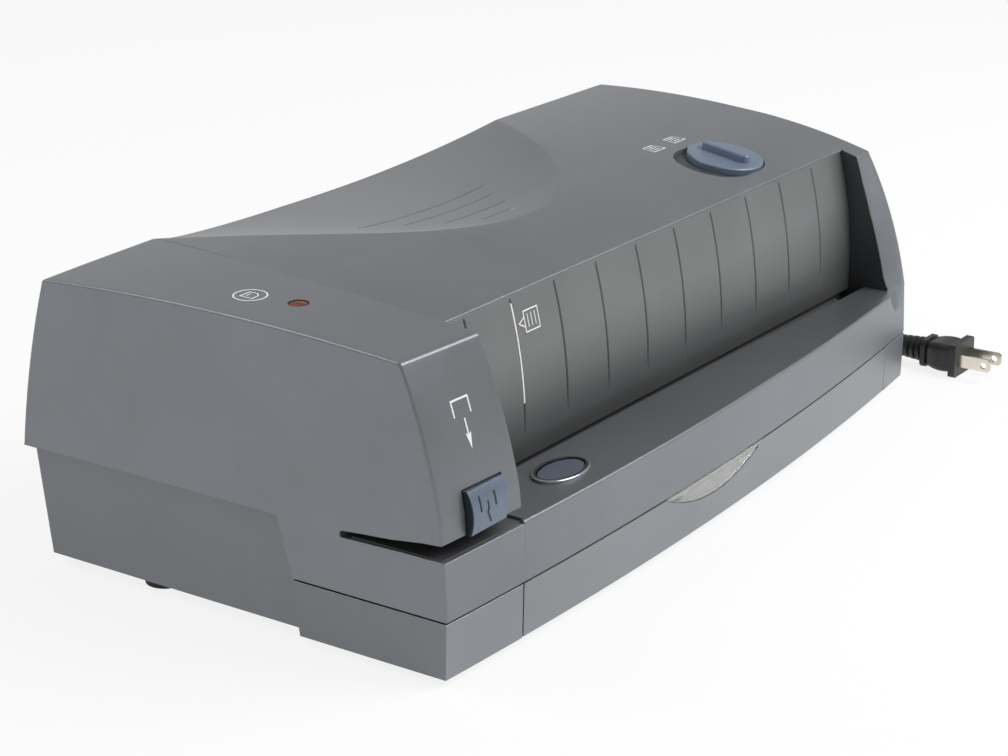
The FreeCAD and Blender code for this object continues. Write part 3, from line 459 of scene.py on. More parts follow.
# ---------------------------------------------------------------- the casing's surfaces
@dataclass(frozen=True)
class Casing:
    """Sizes and surfaces that the cover's parts share."""

    head_x: float = 49.0
    wall_x: float = 393.2
    ledge_z: float = 50.8
    deck_z: float = 49.6
    step: Pair = (72.0, 26.4)
    step_top: Pair = (79.2, 50.8)
    bow_radius: float = 2170.0
    bow: Pair = (120.0, -2.8)
    front_run: tuple = ((-0.1, 50.8), (-1.1, 26.4))
    head_front: tuple = ((18.7, 123.4), (7.4, 91.0), (1.6, 65.0))
    rear_corner: Pair = (195.3, 124.8)
    rear_bulge: Pair = (206.2, 84.0)
    rear_foot: Pair = (211.7, 50.8)
    lean: float = 0.047
    skin: float = 2.5
    lamp: Pair = (26.0, 86.5)
    oval: Pair = (99.5, 15.3)
    oval_radii: Pair = (15.7, 9.8)
    head_arc: tuple = ((19.0, 123.2), (112.0, 127.4))
    near_arc: tuple = ((18.0, 107.0), (70.0, 121.1), (110.0, 125.7))
    far_arc: tuple = ((110.0, 125.7), (152.0, 127.4), (195.4, 125.8))
    tilt_x: tuple = (0.0, 25.0, 49.0, 150.0)
    head_tilt: tuple = (-0.95, 0.0, 0.75, 2.2)
    head_tilt_y: Pair = (19.0, 176.0)
    main_tilt: tuple = (-0.25, -0.25, -0.25, 1.2)
    main_tilt_y: Pair = (47.0, 148.0)
    crease_y: tuple = (19.0, 33.8, 53.7, 88.5, 139.0, 192.0)
    crease: tuple = (0.0, 0.4, 0.8, 2.3, 9.0, 18.5)
    crease_inset: float = 3.5
    press: Pair = (0.12, 60.0)
    sink: Pair = (0.6, 2.0)
    hollow: Pair = (188.0, 91.0)
    hollow_depth: float = 8.1
    hollow_length: float = 105.4
    hollow_spread: float = 150.0
    hollow_rise: float = 1.8
    hollow_soft: float = 0.05
    hollow_steep: Pair = (0.58, 0.34)
    hollow_turn: float = 0.7
    hollow_least: float = 0.02
    setback_z: tuple = (40.0, 49.0, 56.0, 71.6, 87.0, 101.2, 113.7)
    setback: tuple = (0.0, 4.4, 5.8, 5.9, 5.6, 4.0, 1.3)
    setback_left: Pair = (8.0, 1.6)
    setback_right: Pair = (11.5, 1.4)

    def front(self, depth: Points, x: Points) -> Points:
        """y of a point a given depth behind the bowed front.

        The front is an arc of a great circle seen from above, and a depth is measured along its
        radius.

        Args:
            depth: Distance behind the arc.
            x: Place along the machine.

        Returns:
            y of each point.
        """
        middle, y = self.bow
        inner = self.bow_radius - depth
        return y + self.bow_radius - np.sqrt(inner ** 2 - (x - middle) ** 2)

    def rear(self, z: Points) -> Points:
        """y of the bulging rear face at a height."""
        turned = [(p[1], p[0]) for p in (self.rear_corner, self.rear_bulge, self.rear_foot)]
        return on_circle(*turned, z)

    def head_edge(self, y: Points) -> Points:
        """x of the crease where the stapler head's top ends."""
        return self.head_x - self.crease_inset + np.interp(y, self.crease_y, self.crease)

    def head_top(self, x: Points, y: Points) -> Points:
        """Height of the stapler head's top.

        It is a circle across the machine, tilted so that its rear rises to the right.

        Args:
            x: Place along the machine.
            y: Place across it.

        Returns:
            Height of each point.
        """
        tilt = ramp(y, *self.head_tilt_y) * np.interp(x, self.tilt_x, self.head_tilt)
        return on_circle(*self.head_arc, self.rear_corner, y) + tilt

    def plain_top(self, x: Points, y: Points) -> Points:
        """Height of the top right of the head, without its hollow.

        Two circles meet across the machine, and the rear rises to the right.

        Args:
            x: Place along the machine.
            y: Place across it.

        Returns:
            Height of each point.
        """
        meet = self.near_arc[-1][0]
        near = on_circle(*self.near_arc, np.minimum(y, meet))
        far = on_circle(*self.far_arc, np.maximum(y, meet))
        tilt = ramp(y, *self.main_tilt_y) ** 2 * np.interp(x, self.tilt_x, self.main_tilt)
        return np.where(y < meet, near, far) + tilt

    def main_top(self, x: Points, y: Points) -> Points:
        """Height of the top right of the head, with its hollow.

        Next to the head it is pressed down where it would stand higher than the head's edge, and
        left of that edge it sinks. The hollow is as wide as the square root of the way back from
        its tip. Across it, its depth is a power of one minus the square of the share of that
        width: steep at the left and gentle at the right.

        Args:
            x: Place along the machine.
            y: Place across it.

        Returns:
            Height of each point.
        """
        edge = self.head_edge(y)
        margin, reach = self.press
        excess = self.plain_top(edge, y) + margin - self.head_top(edge, y)
        fade = np.clip(1 - (x - edge) / reach, 0, 1) ** 2
        middle, tip = self.hollow
        back = np.maximum(y - tip, self.hollow_least)
        u = (x - middle) / np.sqrt(self.hollow_spread * back)
        inside = np.maximum(1 - u ** 2, 0)
        least, more = self.hollow_steep
        power = least + more * np.clip(0.5 + u / self.hollow_turn, 0, 1)
        across = (inside ** 2 / (inside + self.hollow_soft)) ** power
        along = 1 - np.maximum(1 - back / self.hollow_length, 0) ** self.hollow_rise
        depth, width = self.sink
        sunk = depth * np.clip((edge - x) / width, 0, 1)
        pressed = self.plain_top(x, y) - fade * np.maximum(excess, 0)
        return pressed - self.hollow_depth * along * across - sunk

    def wall_setback(self, x: Points, z: Points) -> Points:
        """How far the front is set back beside the paper: most at the wall's inner edge.

        It fades to both sides as a power of the share of a width.

        Args:
            x: Place along the machine.
            z: Height.

        Returns:
            Distance for each point.
        """
        width, power = self.setback_left
        from_left = ramp(x, self.wall_x - width, width) ** power
        width, power = self.setback_right
        from_right = (1 - ramp(x, self.wall_x, width)) ** power
        return np.interp(z, self.setback_z, self.setback) * from_left * from_right


CASE = Casing()


def depth_at(points: list[Pair], x: float) -> list[Pair]:
    """Turn (depth, z) pairs into (y, z) pairs at one place along the machine."""
    return [(float(CASE.front(np.array([d]), np.array([x]))[0]), z) for d, z in points]


@dataclass
class Sweep:
    """Closed outline carried along x, with its ends rounded point by point."""

    outline: Points
    x_ref: float

    def solid(self, name: str, ends: Pair, inner: Points, shape: Shaper | None = None,
              steps: int = 6) -> Piece:
        """Build the closed solid.

        Near an end a point of rounding r moves along a quarter circle: it stands r (1 - cos a)
        from the end and r (1 - sin a) inside its outline, for a from 0 to a right angle. Points
        that follow the bow are moved by how much the bow differs from the outline's own place.

        Args:
            name: Piece name.
            ends: Its left and right end.
            inner: Stations between the ends.
            shape: Function of x, y, z and the outline that returns new x, y and z.
            steps: Rings in each rounding.

        Returns:
            The object.
        """
        o = self.outline
        a = np.linspace(0, math.pi / 2, steps + 1)[:, None]
        left = ends[0] + o[:, LEFT] * (1 - np.cos(a))
        right = ends[1] - o[:, RIGHT] * (1 - np.cos(a[::-1]))
        middle = np.repeat(np.asarray(inner, float)[:, None], len(o), axis=1)
        xs = np.concatenate([left, middle, right])
        inset = np.concatenate([o[:, LEFT] * (1 - np.sin(a)), np.zeros_like(middle),
                                o[:, RIGHT] * (1 - np.sin(a[::-1]))])
        bow = CASE.front(np.zeros_like(xs), xs) - CASE.front(np.zeros(1), np.array([self.x_ref]))
        y = o[:, Y] + o[:, FOLLOW] * bow
        z = np.repeat(o[None, :, Z], len(xs), axis=0)
        if shape:
            xs, y, z = shape(xs, y, z, o)
        ring = np.stack([y, z], axis=-1)
        ring = ring + inward(ring) * inset[..., None]
        points = np.concatenate([xs[..., None], ring], axis=-1)
        faces = grid_faces(*xs.shape) + caps(*xs.shape)
        return finish_mesh(add_mesh(name, points.reshape(-1, 3), faces))


# ---------------------------------------------------------------- cutters
def prism(ring: Points, low: float, high: float, place: Mover = lambda p: p) -> Piece:
    """Upright prism used as a cutter.

    Args:
        ring: (n, 2) outline in x and y.
        low: Height of its lower end.
        high: Height of its upper end.
        place: Function that moves its points.

    Returns:
        The cutter.
    """
    n = len(ring)
    points = np.concatenate([np.c_[ring, np.full(n, low)], np.c_[ring, np.full(n, high)]])
    faces = [[i, (i + 1) % n, n + (i + 1) % n, n + i] for i in range(n)]
    faces += [list(range(n))[::-1], list(range(n, 2 * n))]
    return add_mesh("cutter", place(points), faces)


def ellipse(cx: float, cy: float, rx: float, ry: float, count: int = 72) -> Points:
    """Outline of an ellipse."""
    a = np.linspace(0, 2 * math.pi, count, endpoint=False)
    return np.stack([cx + rx * np.cos(a), cy + ry * np.sin(a)], axis=1)


def stadium(x0: float, x1: float, radius: float, count: int = 40) -> Points:
    """Outline of a slot with round ends on the line y = 0.

    Args:
        x0: Centre of its left end.
        x1: Centre of its right end.
        radius: Radius of the ends.
        count: Points in an end.

    Returns:
        (2 count, 2) array.
    """
    right = np.linspace(-math.pi / 2, math.pi / 2, count)
    ends = ((x1, right), (x0, right + math.pi))
    return np.concatenate([np.stack([x + radius * np.cos(a), radius * np.sin(a)], axis=1)
                           for x, a in ends])


def box_cutter(low: tuple, high: tuple) -> Piece:
    """Rectangular cutter between two corners."""
    (x0, y0, z0), (x1, y1, z1) = low, high
    return prism(np.array([[x0, y0], [x1, y0], [x1, y1], [x0, y1]]), z0, z1)


def side_cutter(outline: tuple, x0: float, x1: float) -> Piece:
    """Cutter with a y-z outline, carried from x0 to x1."""
    return prism(np.array(outline), x0, x1, lambda p: p[:, [2, 0, 1]])


def groove_cutter(path: Points, radius: float, around: int = 10, taper: float = 4.0,
                  thinnest: float = 0.15) -> Piece:
    """Round bar along a path, used to press a groove.

    A circle stands square to the path at each point, in the plane of the sideways direction and
    the one above it. Its radius falls towards both ends as the square root of the way from them.

    Args:
        path: (n, 3) array.
        radius: Radius of the bar.
        around: Points in a circle.
        taper: Number of steps that a tapered end takes.
        thinnest: Least share of the taper that counts.

    Returns:
        The cutter.
    """
    along = np.gradient(path, axis=0)
    along /= np.linalg.norm(along, axis=1, keepdims=True)
    side = np.cross(along, [0.0, 0.0, 1.0])
    side /= np.linalg.norm(side, axis=1, keepdims=True)
    above = np.cross(side, along)
    a = np.linspace(0, 2 * math.pi, around, endpoint=False)[:, None]
    count = np.arange(len(path))
    thin = np.sqrt(np.clip(np.minimum(count, count[::-1]) / taper, thinnest, 1.0))
    size = (radius * thin)[:, None, None]
    rings = path[:, None] + size * (np.cos(a) * side[:, None] + np.sin(a) * above[:, None])
    faces = grid_faces(len(path), around) + caps(len(path), around)
    cutter = add_mesh("cutter", rings.reshape(-1, 3), faces)
    face_outwards(cutter.data)
    return cutter


# ---------------------------------------------------------------- the cover
@dataclass
class CoverPart:
    """What the cover's mouldings share: rear face, top, underside and the anvil plate's seat."""

    rear_round: float = 2.2
    ease_y: float = 100.0
    plain_x: float = 200.0
    seat_x: Pair = (1.6, 50.6)
    seat_y: Pair = (1.6, 44.6)
    seat_depth: float = 1.4

    def eased(self, y: Points) -> Points:
        """Share of the way back over which the top comes to meet the rear corner."""
        return ramp(y, self.ease_y, CASE.rear_corner[0] - self.ease_y)

    def plain_height(self, y: Points) -> Points:
        """Height of the plain top where its outline is drawn."""
        return CASE.plain_top(self.plain_x, y)

    def rear_run(self, right: float = 0.0, left: float = 0.0) -> Run:
        """Rear face from its foot to the corner under the top."""
        points = arc(CASE.rear_foot, CASE.rear_bulge, CASE.rear_corner, 28)
        return stretch(points, self.rear_round, left=left, right=right, part=Part.REAR)

    def top_run(self, height: Height, front_y: float, count: int, follow: float, corner: float,
                left: float = 0.0, right: float = 0.0) -> Run:
        """Top from the rear corner to the front edge, as a height over y.

        Args:
            height: Height at each y.
            front_y: y of the front edge.
            count: Number of points.
            follow: How far the front edge follows the bow.
            corner: Radius of the front edge.
            left: Rounding of the left end.
            right: Rounding of the right end.

        Returns:
            The run.
        """
        y = np.linspace(CASE.rear_corner[0], front_y, count)
        z = height(y)
        z += (CASE.rear_corner[1] - z[0]) * self.eased(y)
        return stretch(np.stack([y, z], axis=1), corner, (0.0, follow), left, right, Part.TOP)

    def under_runs(self, foot: Pair, end: End) -> list[Run]:
        """Underside: back along the seam, up the step and back to the rear face.

        Args:
            foot: Lower end of the front.
            end: Which end of the moulding is rounded.

        Returns:
            Three runs.
        """
        corners = (foot, CASE.step, CASE.step_top, CASE.rear_foot)
        counts, radii, follows = (6, 2, 6), (0.2, 0.4, 0.3), ((1, 0), (0, 0), (0, 0))
        return [stretch(line(a, b, n), r, follow, **{end.value: r})
                for a, b, n, r, follow in zip(corners, corners[1:], counts, radii, follows)]

    def fitted(self, surface: Rule, plain: Height, x: Points, y: Points, z: Points,
               o: Points) -> tuple[Points, Points]:
        """Bring the top, the rear face and the inside of an outline to a height field.

        The rear edge moves to the field's height, the rear face is squeezed or stretched to end
        there, and the top takes the field's height with its own roundings kept.

        Args:
            surface: Function of x and y that gives the height.
            plain: Height over y that the outline's top was drawn with.
            x: Place along the machine.
            y: Place across it.
            z: Height.
            o: The outline's columns.

        Returns:
            New y and z.
        """
        corner_y, corner_z = CASE.rear_corner
        edge = surface(x, np.full_like(x, corner_y))
        rear_z = z + (edge - corner_z) * (z - CASE.ledge_z) / (corner_z - CASE.ledge_z)
        rear_y = y - CASE.rear(z) + CASE.rear(rear_z)
        top_y = y + (CASE.rear(edge) - corner_y) * self.eased(y)
        drawn, part = o[:, Y], o[:, PART]
        droop = (corner_z - plain(np.full(1, corner_y))[0]) * self.eased(drawn)
        top_z = surface(x, top_y) + z - plain(drawn) - droop
        inside_z = np.minimum(z, surface(x, y) - CASE.skin)
        rear, top = part == Part.REAR.value, part == Part.TOP.value
        y = np.where(rear, rear_y, np.where(top, top_y, y))
        return y, np.select([rear, top, part == Part.INSIDE.value], [rear_z, top_z, inside_z], z)

    def seat_cutter(self) -> Piece:
        """Cutter for the anvil plate's seat, whose front follows the bow.

        Returns:
            The cutter.
        """
        depth, back = self.seat_y
        x = np.linspace(*self.seat_x, 12)
        front = np.stack([x, CASE.front(depth, x)], axis=1)
        ring = np.concatenate([front, [[end, back] for end in self.seat_x[::-1]]])
        return prism(ring, CASE.deck_z - self.seat_depth, CASE.ledge_z + 6.0)


@dataclass
class TopShell(CoverPart):
    """Thin shell of the top and rear, with a web behind the paper panel and the selector's slot."""

    edge: float = 0.6
    front_y: float = 47.3
    web: tuple = ((46.9, 115.3), (50.4, 115.3), (44.5, 60.0), (44.5, 40.0), (47.0, 40.0),
                  (47.0, 60.0))
    under: Pair = (54.0, 193.3)
    inner_rear: tuple = ((203.7, 84.0), (209.2, 50.8))
    left_x: float = 44.0
    fine_x: tuple = (46.0, 336.0, 1.15)
    coarse_x: tuple = (338, 393.2, 8)
    selector: tuple = (329.0, 75.0, 121.9)
    selector_tilt: float = math.radians(9.6)
    selector_travel: float = 11.0
    selector_radius: float = 18.2
    selector_gap: float = 0.7
    floor_lap: float = 3.0
    floor_z: Pair = (-5.0, -2.2)
    stem_radius: float = 3.6
    stem_low: float = -9.0
    grips: tuple = ((127.0, 225.0, 133.6), (141.6, 214.5, 122.7), (155.6, 205.5, 111.3),
                    (169.4, 194.5, 101.9))
    grip_radius: float = 0.8
    grip_middle: float = 178.0
    grip_bend: float = 900.0
    grip_lift: float = 0.1

    def outline(self) -> Points:
        """Section of the shell: rear, top, web and the inside back to the rear's foot.

        Returns:
            The outline's points, with all columns.
        """
        height, web = self.plain_height, self.web
        front = (self.front_y, float(height(np.array([self.front_y]))[0]))
        inner_y = np.linspace(*self.under, 60)
        under = np.stack([inner_y, height(inner_y) - CASE.skin], axis=1)
        foot = self.inner_rear[-1]
        inner_rear = arc(tuple(under[-1]), *self.inner_rear, 20)
        return joined([self.rear_run(), self.top_run(height, front[0], 150, 0.0, self.edge),
                       stretch(line(front, web[0]), 0.2),
                       *(stretch(line(a, b)) for a, b in zip(web, web[1:])),
                       stretch(line(web[-1], tuple(under[0]), 8)),
                       stretch(under, part=Part.INSIDE), stretch(inner_rear, part=Part.INSIDE),
                       stretch(line(foot, CASE.rear_foot))])

    def shape(self, x: Points, y: Points, z: Points, o: Points) -> tuple[Points, Points, Points]:
        """Fit the section to the top with its hollow."""
        return x, *self.fitted(CASE.main_top, self.plain_height, x, y, z, o)

    def slot(self, radius: float, low: float, high: float) -> Piece:
        """Solid of the selector's travel, square to the sloping top."""
        return prism(stadium(-self.selector_travel, 0, radius), low, high, self.on_top)

    def on_top(self, points: Points) -> Points:
        """Turn points about the selector's centre onto the sloping top.

        Args:
            points: (n, 3) array.

        Returns:
            The turned points.
        """
        c, s = math.cos(self.selector_tilt), math.sin(self.selector_tilt)
        x, y, z = points.T
        return np.stack([x, y * c - z * s, y * s + z * c], axis=1) + np.array(self.selector)

    def grip_cutters(self) -> list[Piece]:
        """Bars for the grip grooves in the hollow, each a shallow parabola across it.

        Returns:
            The cutters.
        """
        bars = []
        for x0, x1, y in self.grips:
            x = np.linspace(x0, x1, 40)
            bent = y + (x - self.grip_middle) ** 2 / self.grip_bend
            path = np.stack([x, bent, CASE.main_top(x, bent) + self.grip_lift], axis=1)
            bars.append(groove_cutter(path, self.grip_radius))
        return bars

    def build(self) -> Piece:
        """Make the shell and cut its openings and grooves.

        Returns:
            The piece.
        """
        inner = np.concatenate([np.arange(*self.fine_x), np.linspace(*self.coarse_x)[:-1]])
        shell = Sweep(self.outline(), self.plain_x).solid(
            "cover_top", (self.left_x, CASE.wall_x), inner, self.shape, steps=1)
        return carve(shell, [self.slot(self.selector_radius + self.selector_gap,
                                       self.floor_z[1], 20.0),
                             self.slot(self.stem_radius, self.stem_low, 5.0),
                             *self.grip_cutters()])

    def selector_floor(self) -> Piece:
        """Plate under the selector's slot.

        Returns:
            The piece.
        """
        plate = self.slot(self.selector_radius + self.floor_lap, *self.floor_z)
        plate.name = plate.data.name = "selector_floor"
        return carve(plate, [self.slot(self.stem_radius, self.stem_low, 0.0)])


@dataclass
class StaplerHead(CoverPart):
    """Stapler head, with the throat that the sheets go into."""

    ref: float = 25.0
    edge: float = 1.2
    top_round: float = 2.6
    rear_left: float = 1.0
    top_right: float = 0.3
    front_right: float = 0.7
    chin: Pair = (1.0, 56.2)
    roof: tuple = ((9.0, 55.6), (24.0, 53.6), (36.0, 52.7), (47.2, 51.8))
    throat: tuple = ((48.6, 50.4), (47.2, 49.0), (20.0, 49.6))
    throat_left: float = 0.4
    lip: float = 0.6
    stations: tuple = (6.0, 12.0, 18.0, 24.0, 30.0, 36.0, 42.0)
    shoulder: Pair = (112.0, 10.0)
    nose_x: Pair = (14.4, 38.4)
    nose_y: Pair = (-20.0, 11.4)
    nose_top: float = 73.4
    rail_y: Pair = (5.0, 32.0)
    rail_top: float = 62.0
    room: tuple = ((11.2, 57.0), (11.2, 96.0), (24.0, 97.0), (24.0, 118.0), (185.0, 118.0),
                   (185.0, 57.0))
    room_x: Pair = (12.0, 40.0)
    lamp_radius: float = 4.2
    lamp_z: Pair = (117.0, 140.0)

    def height(self, y: Points) -> Points:
        """Height of the head's top where its outline is drawn."""
        return CASE.head_top(self.ref, y)

    def outline(self) -> Points:
        """Section of the head: rear, top, front, the throat's roof and floor, and the underside.

        Returns:
            The outline's points, with all columns.
        """
        lip = (CASE.front_run[0][0], CASE.deck_z)
        front = depth_at([*CASE.head_front, self.chin, lip, CASE.front_run[1]], self.ref)
        roof_end, (tip, floor_end, floor) = self.roof[-1], self.throat
        edge, inner = self.edge, self.throat_left
        return joined([
            self.rear_run(left=self.rear_left),
            self.top_run(self.height, front[0][0], 90, 1.0, self.top_round, edge, self.top_right),
            stretch(arc(*front[:3], 36), follow=(1, 1), left=edge, right=self.front_right),
            stretch(line(front[2], front[3], 4), 0.5, (1, 1), edge, self.front_right),
            stretch(np.array([front[3], *self.roof]), 0.0, (1, 0), 0.5, self.top_right),
            stretch(arc(roof_end, tip, floor_end, 10), 0.0, left=inner),
            stretch(line(floor_end, floor, 3), 0.0, left=inner),
            stretch(line(floor, front[4], 5), self.lip, (0, 1), self.lip),
            stretch(line(front[4], front[5], 4), 0.2, (1, 1), self.rear_left),
            *self.under_runs(front[5], End.LEFT)])

    def shape(self, x: Points, y: Points, z: Points, o: Points) -> tuple[Points, Points, Points]:
        """Lean the head's right side, draw its top out to the crease and tilt the top.

        Args:
            x: Place along the machine.
            y: Place across it.
            z: Height.
            o: The outline's columns.

        Returns:
            New x, y and z.
        """
        new_y, new_z = self.fitted(CASE.head_top, self.height, x, y, z, o)
        upper = ramp(z, *self.shoulder) * np.isin(o[:, PART], (Part.TOP.value, Part.REAR.value))
        out = np.interp(new_y, CASE.crease_y, CASE.crease) * upper
        out = out - CASE.lean * np.maximum(z - CASE.ledge_z, 0)
        return x + out * (x / CASE.head_x) ** 2, new_y, new_z

    def build(self) -> Piece:
        """Make the head and cut the nose's opening, the works' room, the lamp and the seat.

        Returns:
            The piece.
        """
        block = Sweep(self.outline(), self.ref).solid(
            "cover_head", (0.0, CASE.head_x), self.stations, self.shape)
        (x0, x1), (y0, y1), ledge = self.nose_x, self.nose_y, CASE.ledge_z
        return carve(block, [box_cutter((x0, y0, ledge + 1.0), (x1, y1, self.nose_top)),
                             box_cutter((x0, self.rail_y[0], ledge + 0.2),
                                        (x1, self.rail_y[1], self.rail_top)),
                             side_cutter(self.room, *self.room_x),
                             prism(ellipse(*CASE.lamp, *[self.lamp_radius] * 2), *self.lamp_z),
                             self.seat_cutter()])


@dataclass
class PaperLedge(CoverPart):
    """Paper ledge with its bowed front lip."""

    lip: float = 1.5
    inner_front: tuple = ((2.0, 48.3), (1.4, 26.4))
    back: float = 31.2
    coarse_x: tuple = (52.0, 384.0, 60)
    fine_x: tuple = (385.2, 393.0, 9)
    droop: float = 1.4
    droop_x: Pair = (250.0, 140.0)
    droop_z: Pair = (40.0, 8.0)
    oval_lap: float = 1.0
    oval_z: Pair = (40.0, 60.0)

    def outline(self) -> Points:
        """Section of the ledge: front lip, shelf, and the inside of both.

        Returns:
            The outline's points, with all columns.
        """
        b, a = depth_at(CASE.front_run, self.plain_x)
        c, d = depth_at(self.inner_front, self.plain_x)
        rear_top, rear_low = (self.back, CASE.ledge_z), (self.back, c[1])
        return joined([stretch(line(a, b, 30), self.lip, (1, 1)),
                       stretch(line(b, rear_top, 5), 0.0, (1, 0)),
                       stretch(line(rear_top, rear_low)),
                       stretch(line(rear_low, c, 4), 0.0, (0, 1)),
                       stretch(line(c, d, 4), 0.0, (1, 1)), stretch(line(d, a), 0.2, (1, 1))])

    def shape(self, x: Points, y: Points, z: Points, o: Points) -> tuple[Points, Points, Points]:
        """Let the shelf droop to the right and set its front back where the end wall starts."""
        low = z - self.droop * ramp(x, *self.droop_x) * ramp(z, *self.droop_z)
        return x, y + o[:, FOLLOW] * CASE.wall_setback(x, low), low

    def build(self) -> Piece:
        """Make the ledge and cut the oval button's hole and the anvil plate's seat.

        Returns:
            The piece.
        """
        inner = np.concatenate([np.linspace(*self.coarse_x), np.linspace(*self.fine_x)])
        shelf = Sweep(self.outline(), self.plain_x).solid(
            "cover_ledge", (CASE.head_x, CASE.wall_x), inner, self.shape, steps=1)
        radii = [radius - self.oval_lap for radius in CASE.oval_radii]
        return carve(shelf, [prism(ellipse(*CASE.oval, *radii), *self.oval_z),
                             self.seat_cutter()])


@dataclass
class EndWall(CoverPart):
    """Wall at the right that the sheets are pushed against."""

    ref: float = 400.0
    front: tuple = ((29.0, 124.0), (9.6, 86.0))
    top_round: float = 0.6
    inner_edge: float = 0.5
    inner_edge_y: float = 46.5
    outer_edge: float = 0.9
    inner_x: tuple = (394.2, 405.0, 12)
    fade_y: Pair = (60.0, 15.0)

    def outline(self) -> Points:
        """Section of the wall: rear, top, bowed front and underside.

        Returns:
            The outline's points, with all columns.
        """
        front = depth_at([*self.front, *CASE.front_run], self.ref)
        face = arc(*front[:3], 90)
        face = face[face[:, 1] < self.plain_height(face[:, 0])]
        face[0, 1] = self.plain_height(face[:1, 0])[0]
        inner, outer = self.inner_edge, self.outer_edge
        top = self.top_run(self.plain_height, face[0, 0], 70, 1.0, self.top_round, inner, outer)
        top[0][:, LEFT] *= top[0][:, Y] < self.inner_edge_y
        return joined([self.rear_run(outer), top,
                       stretch(face, 0.0, (1, 1), inner, outer, Part.WALL),
                       stretch(line(front[2], front[3], 30), 0.2, (1, 1), 0.0, outer, Part.WALL),
                       *self.under_runs(front[3], End.RIGHT)])

    def shape(self, x: Points, y: Points, z: Points, o: Points) -> tuple[Points, Points, Points]:
        """Set the front back towards the paper and tilt the top.

        Args:
            x: Place along the machine.
            y: Place across it.
            z: Height.
            o: The outline's columns.

        Returns:
            New x, y and z.
        """
        back, part = CASE.wall_setback(x, z), o[:, PART]
        end, width = self.fade_y
        near = np.clip((end - y) / width, 0, 1)
        y = y + np.where(part == Part.WALL.value, back,
                         np.where(part == Part.TOP.value, back * near, 0.0))
        return x, *self.fitted(CASE.plain_top, self.plain_height, x, y, z, o)

    def build(self) -> Piece:
        """Make the wall."""
        return Sweep(self.outline(), self.ref).solid(
            "cover_end_wall", (CASE.wall_x, LENGTH), np.linspace(*self.inner_x), self.shape)


@dataclass
class Cover:
    """The upper moulding: stapler head, top with its hand hollow, paper ledge and end wall."""

    # Painted shade on the end wall's inner face and on the head's front, and on the shelf a painted
    # reflection of the dark panel.
    wall_shade: Rule = Facing(0, -1, 0.9, 0.68, CASE.ledge_z - 2)
    shelf_shade: Rule = Facing(2, 1, 0.9, 0.36)
    head_shade: Rule = Facing(1, -1, 0.8, 0.16, CASE.ledge_z + 4)

    def build(self, material: bpy.types.Material) -> list[Piece]:
        """Make the cover's parts and put them on the machine.

        Args:
            material: The cover's finish.

        Returns:
            The five pieces.
        """
        wall = darken(EndWall().build(), self.wall_shade)
        shelf = darken(PaperLedge().build(), self.shelf_shade)
        head = darken(StaplerHead().build(), self.head_shade)
        top = TopShell()
        parts = [head, top.build(), top.selector_floor(), shelf, wall]
        for part in parts:
            dress(part, material)
            settle(part, "root", "cover_grey", "upper_cover")
        return parts


